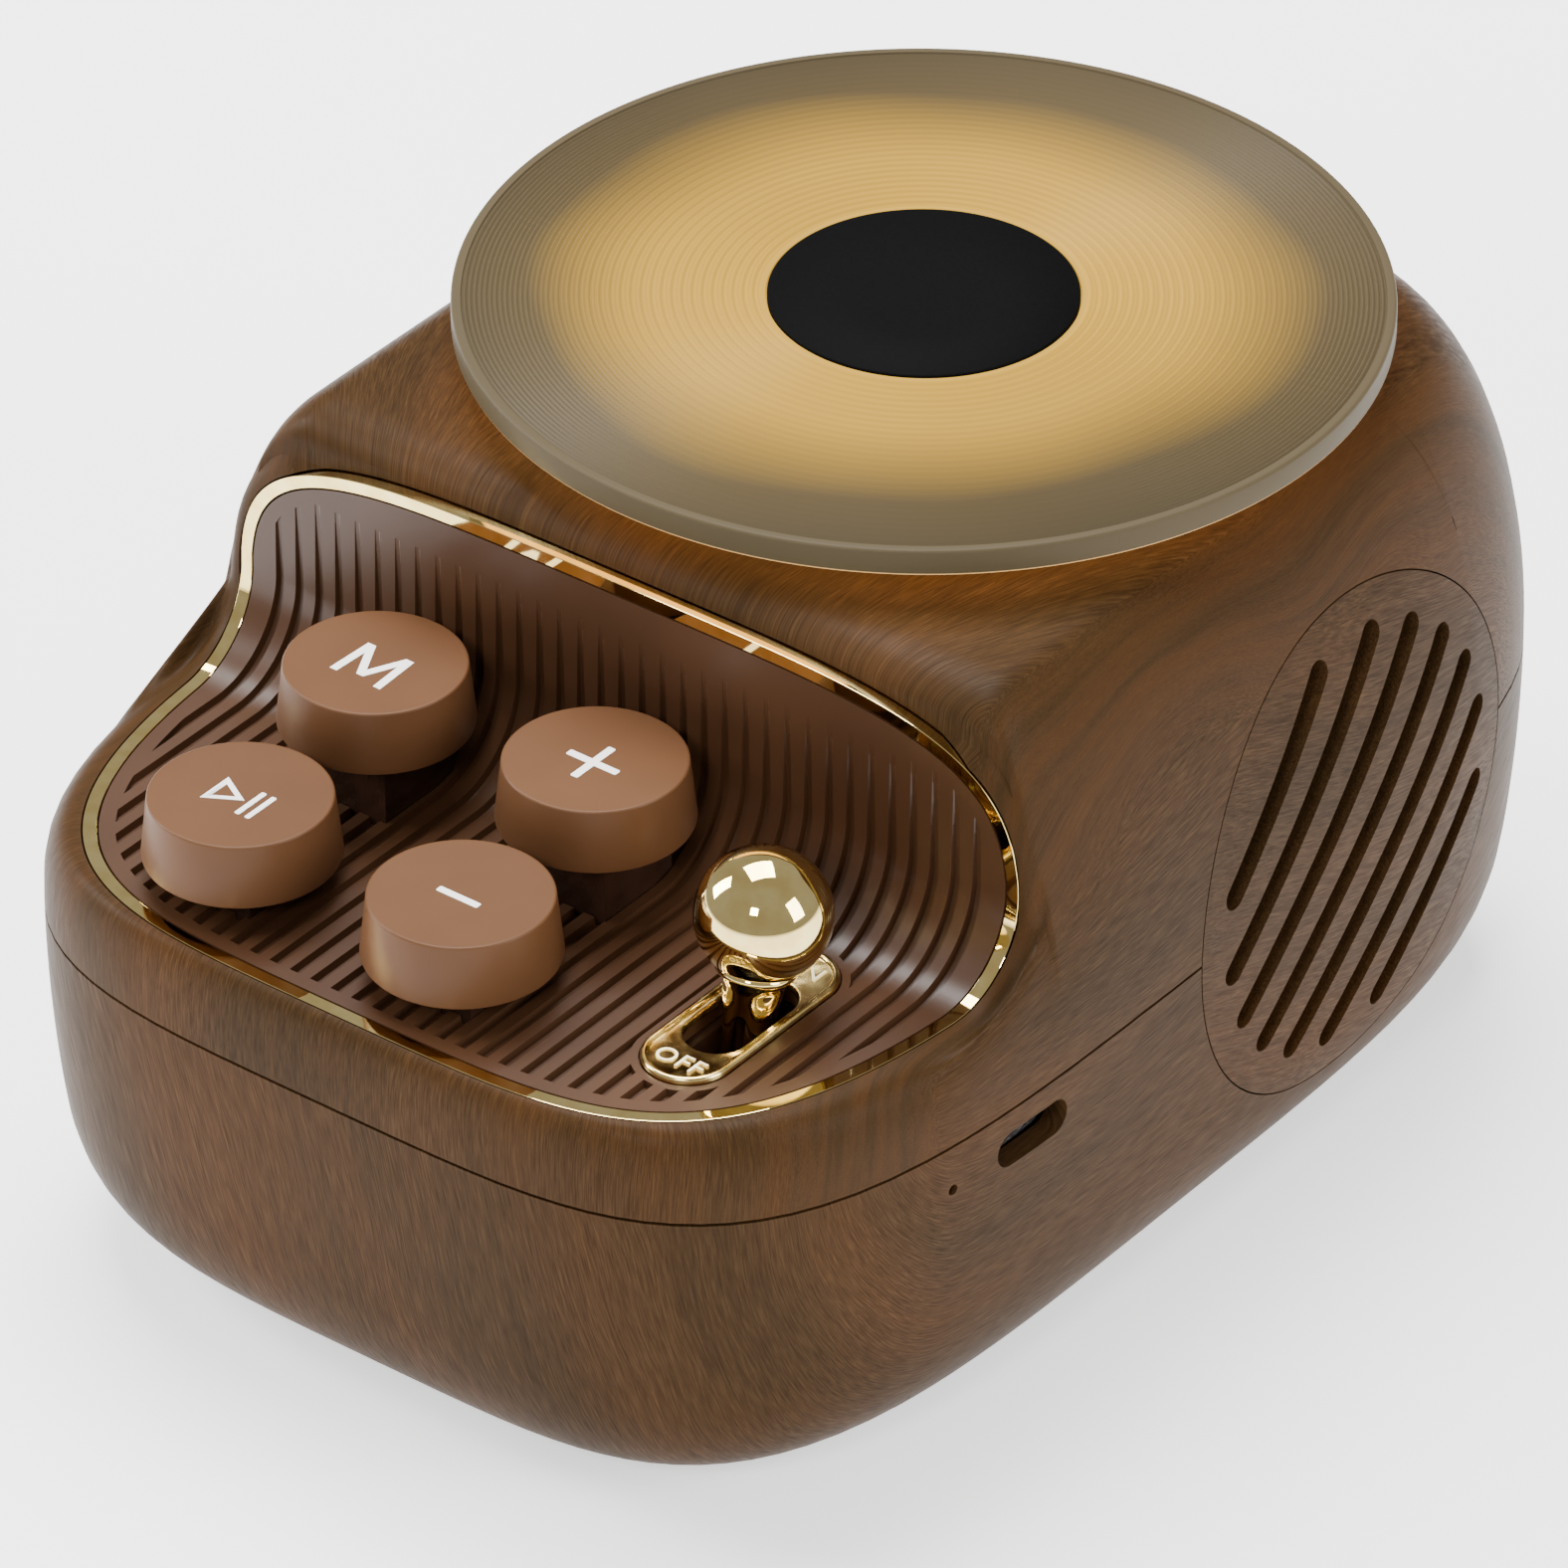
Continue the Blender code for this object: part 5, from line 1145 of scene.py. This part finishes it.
DISC_EDGE = 0.35 * MM
RIBS = 58
RIB_HEIGHT = 0.2 * MM
RIB_SECTION = 1.7 * RIB_HEIGHT
# Pitch, in millimetres, of the painted highlight and painted shade of the rings in the disc's glow.
PAINTED_RING_PITCH = 0.93
UNDERGLOW = (3.6, 2.1, 0.75, 1.0)

disc_low, disc_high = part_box("record_disc")
disc_radius = (disc_high.x - disc_low.x) / 2
label_low, label_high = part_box("disc_label")
label_radius = (label_high.x - label_low.x) / 2
disc_top = disc_high.z
disc_bottom = disc_low.z
bore = 1.65 * MM
land = 1.0 * MM
profile = [(label_radius + FIT, disc_top - RIB_HEIGHT)]
profile.append((disc_radius - land, disc_top - RIB_HEIGHT))
profile.append((disc_radius - land + 0.1 * MM, disc_top))
for k in range(6):
    a = radians(90 - 18 * k)
    profile.append((disc_radius - DISC_EDGE * (1 - cos(a)), disc_top - DISC_EDGE * (1 - sin(a))))
for k in range(6):
    a = radians(-18 * k)
    profile.append((disc_radius - DISC_EDGE * (1 - cos(a)), disc_bottom + DISC_EDGE * (1 + sin(a))))
profile += [(bore, disc_bottom), (bore, label_low.z - FIT), (label_radius + FIT, label_low.z - FIT)]
record = lathed("record", profile, 192, (0.0, disc_y, 0.0))


def rib_tree():
    """Rings about one centre, each a circle with a small section, from an inner to an outer radius."""
    tree, given = row_tree("record_rings", "Seed", "Rings", "Inner", "Outer", "Section")
    feeds = {"Count": given["Rings"], "Offset": (0.0, 0.0, 0.0)}
    row = step(tree, "GeometryNodeMeshLine", feeds).outputs[0]
    index = step(tree, "GeometryNodeInputIndex").outputs[0]
    share = calc(tree, "DIVIDE", index, calc(tree, "SUBTRACT", given["Rings"], 1.0))
    span = calc(tree, "SUBTRACT", given["Outer"], given["Inner"])
    radius = calc(tree, "MULTIPLY_ADD", share, span, given["Inner"])
    circle = step(tree, "GeometryNodeCurvePrimitiveCircle", {"Resolution": 160, "Radius": 1.0}).outputs[0]
    size = step(tree, "ShaderNodeCombineXYZ", {0: radius, 1: radius, 2: 1.0}).outputs[0]
    feeds = {"Points": row, "Instance": circle, "Scale": size}
    copies = step(tree, "GeometryNodeInstanceOnPoints", feeds).outputs[0]
    whole = step(tree, "GeometryNodeRealizeInstances", {0: copies}).outputs[0]
    feeds = {"Resolution": 4, "Radius": given["Section"]}
    bead = step(tree, "GeometryNodeCurvePrimitiveCircle", feeds).outputs[0]
    swept = step(tree, "GeometryNodeCurveToMesh", {"Curve": whole, "Profile Curve": bead}).outputs[0]
    return end_tree(tree, swept, given["Material"])


amber, amber_tree, amber_shader = finish("amber_acrylic", Roughness=0.45, Specular_IOR_Level=0.08)
place = in_millimetres(amber_tree)
centred = vector(amber_tree, "SUBTRACT", place, (0.0, disc_y / MM, 0.0))
flat = vector(amber_tree, "MULTIPLY", centred, (1.0, 1.0, 0.0))
far = step(amber_tree, "ShaderNodeVectorMath", {0: flat}, operation="LENGTH").outputs["Value"]
wave = calc(amber_tree, "SINE", calc(amber_tree, "MULTIPLY", far, 2 * pi / PAINTED_RING_PITCH))
haze = speckle(amber_tree, place, (0.035, 0.035, 0.035), 1.0, 1.0, 0.5)
far = calc(amber_tree, "MULTIPLY_ADD", calc(amber_tree, "SUBTRACT", haze, 0.5), 7.0, far)
share = calc(amber_tree, "DIVIDE", far, disc_radius / MM)
tinted(
    amber_tree,
    amber_shader,
    share,
    (0.30, (0.19, 0.110, 0.014)),
    (0.60, (0.17, 0.100, 0.016)),
    (0.82, (0.070, 0.052, 0.027)),
    (1.0, (0.059, 0.045, 0.025)),
)
glow_tones = (
    (0.30, (0.86, 0.48, 0.045)),
    (0.54, (0.78, 0.45, 0.055)),
    (0.83, (0.04, 0.026, 0.009)),
    (1.0, (0.015, 0.011, 0.004)),
)
glow = stops(amber_tree, share, glow_tones)
height = step(amber_tree, "ShaderNodeSeparateXYZ", {0: place}).outputs[2]
beneath = between(amber_tree, height, disc_bottom / MM, disc_bottom / MM + 0.3, 1.0, 0.0)
# The glow is raised and lowered ring by ring in a sine: painted highlight and painted shade standing in for
# light on the cut rings.
painted_ring_shade = between(amber_tree, wave, -1.0, 1.0, 0.84, 1.08)
glow = step(amber_tree, "ShaderNodeVectorMath", {0: glow, "Scale": painted_ring_shade}, operation="SCALE").outputs[0]
glow = blend_colour(amber_tree, beneath, glow, UNDERGLOW)
amber_tree.links.new(glow, amber_shader.inputs["Emission Color"])
amber_shader.inputs["Emission Strength"].default_value = 0.8

seed_mesh = bpy.data.meshes.new("seed")
seed = bpy.data.objects.new("seed", seed_mesh)
bpy.context.scene.collection.objects.link(seed)
values = {
    "Rings": RIBS,
    "Inner": label_radius + 0.9 * MM,
    "Outer": disc_radius - land - 0.3 * MM,
    "Section": RIB_SECTION,
    "Material": amber,
}
ribs = grown("record_rings", seed, rib_tree(), values)
ribs.data.transform(Matrix.Translation((0.0, disc_y, disc_top - RIB_SECTION)))
settle(record, amber, "disc", "disc", "record_disc")
settle(ribs, amber, "disc", "disc")

label_black, label_tree, label_shader = finish("label_black", Roughness=0.6, Specular_IOR_Level=0.02)
label_tones = ((0.3, (0.0020, 0.0020, 0.0020)), (0.7, (0.0032, 0.0032, 0.0032)))
cloud, tone = clouded(label_tree, label_shader, (5.0, 5.0, 5.0), *label_tones)
embossed(label_tree, label_shader, cloud, 0.08, 0.00005)
label_edge = 0.12 * MM
profile = [
    (0.0, label_high.z),
    (label_radius * 0.5, label_high.z),
    (label_radius - label_edge, label_high.z),
    (label_radius, label_high.z - label_edge),
    (label_radius, label_low.z),
    (0.0, label_low.z),
]
label = lathed("record_label", profile, 128, (0.0, disc_y, 0.0), sharp=50)
settle(label, label_black, "disc", "label", "disc_label")

# ---- Works inside and underneath --------------------------------------------------------------------
# The boards, motor, driver, radiator, battery, springs, screws and feet keep their CAD shapes. Each group
# has the surface its own stuff has: laminate, rolled or machined steel, moulded rubber, pressed paper.


def stuff(name, dark, light, scale, roughness, metal=0.0, relief_by=0.0, stretch=(1.0, 1.0, 1.0)):
    """A plain stuff with its own mottling, from a dark to a light tone."""
    material, tree, shader = finish(name, Roughness=roughness, Metallic=metal)
    spots = speckle(tree, in_millimetres(tree), tuple(scale * part for part in stretch), 1.0, 4.0, 0.6)
    tinted(tree, shader, spots, (0.35, dark), (0.65, light))
    dulled(tree, shader, spots, roughness * 0.85, min(1.0, roughness * 1.15))
    if relief_by:
        embossed(tree, shader, spots, relief_by, 0.0001)
    return material


stuffs = {
    "spring": stuff("spring_wire", (0.42, 0.42, 0.43), (0.62, 0.62, 0.63), 2.0, 0.25, 1.0),
    "hub": stuff("white_moulding", (0.62, 0.60, 0.56), (0.72, 0.70, 0.66), 1.5, 0.5, 0.0, 0.05),
    "steel": stuff(
        "machined_steel", (0.40, 0.40, 0.41), (0.58, 0.58, 0.59), 3.0, 0.3, 1.0, 0.05, (0.2, 1.0, 4.0)
    ),
    "board": stuff("green_laminate", (0.012, 0.070, 0.032), (0.022, 0.110, 0.050), 1.2, 0.35, 0.0, 0.1),
    "rubber": stuff("moulded_rubber", (0.012, 0.012, 0.012), (0.022, 0.022, 0.022), 4.0, 0.75, 0.0, 0.2),
    "cone": stuff("pressed_cone", (0.020, 0.020, 0.021), (0.038, 0.038, 0.038), 2.5, 0.7, 0.0, 0.3),
    "cell": stuff("cell_sleeve", (0.015, 0.085, 0.200), (0.022, 0.110, 0.250), 0.6, 0.35),
    "disc": amber,
    "tower": tower_brown,
    "label": label_black,
}
slots = {part["node"]: part["material_slot"] for part in frame["record"]["subparts"]}
for name, node in frame["nodes"].items():
    if not node.hide_render:
        dress(node, stuffs[slots[name]])

# ---- Floor, light and camera ------------------------------------------------------------------------
# A pale sweep under soft studio light: a broad panel overhead, smaller ones at the left, the right and the
# front, and a bright room.

bpy.ops.mesh.primitive_plane_add(size=6.0, location=(0, 0, 0))
floor = bpy.context.active_object
floor.name = "floor"
paper, paper_tree, paper_shader = finish("floor_paper", Roughness=0.85)
paper_tones = ((0.3, (0.93, 0.93, 0.93)), (0.7, (0.95, 0.95, 0.95)))
cloud, tone = clouded(paper_tree, paper_shader, (0.002, 0.002, 0.002), *paper_tones)
paper_tree.links.new(tone, paper_shader.inputs["Emission Color"])
paper_shader.inputs["Emission Strength"].default_value = 1.0
dress(floor, paper)

world = bpy.data.worlds.new("studio")
bpy.context.scene.world = world
world.use_nodes = True
world.node_tree.nodes["Background"].inputs["Color"].default_value = (1.0, 1.0, 1.0, 1.0)
world.node_tree.nodes["Background"].inputs["Strength"].default_value = 0.45


def panel(name, spot, aim, size, power, colour=(1.0, 1.0, 1.0)):
    """A soft rectangular light turned to a point."""
    light = bpy.data.lights.new(name, "AREA")
    light.shape = "RECTANGLE"
    light.size, light.size_y = size
    light.energy = power
    light.color = colour
    lamp = bpy.data.objects.new(name, light)
    lamp.location = spot
    lamp.rotation_euler = (Vector(aim) - Vector(spot)).to_track_quat("-Z", "Y").to_euler()
    bpy.context.scene.collection.objects.link(lamp)


panel("key_panel", (-0.25, 0.20, 0.95), (0.0, 0.0, 0.03), (0.6, 0.6), 23.0)
panel("left_panel", (-0.80, -0.30, 0.50), (0.0, -0.02, 0.04), (0.30, 0.5), 13.0)
panel("right_panel", (0.85, 0.10, 0.45), (0.0, -0.02, 0.04), (0.35, 0.5), 7.5)
panel("front_panel", (0.30, -0.85, 0.70), (0.0, -0.02, 0.04), (0.22, 0.22), 6.0)

right = Vector((0.79214, 0.61034, 0.0))
up = Vector((-0.34551, 0.44843, 0.82434))
back = Vector((0.50313, -0.65299, 0.56610))
lens = bpy.data.cameras.new("camera")
lens.lens = 277.56
lens.sensor_width = 36.0
lens.clip_end = 20.0
camera = bpy.data.objects.new("camera", lens)
turn = Matrix((right, up, back)).transposed().to_4x4()
camera.matrix_world = Matrix.Translation((0.5591, -0.7274, 0.6629)) @ turn
bpy.context.scene.collection.objects.link(camera)
bpy.context.scene.camera = camera

bpy.context.view_layer.update()
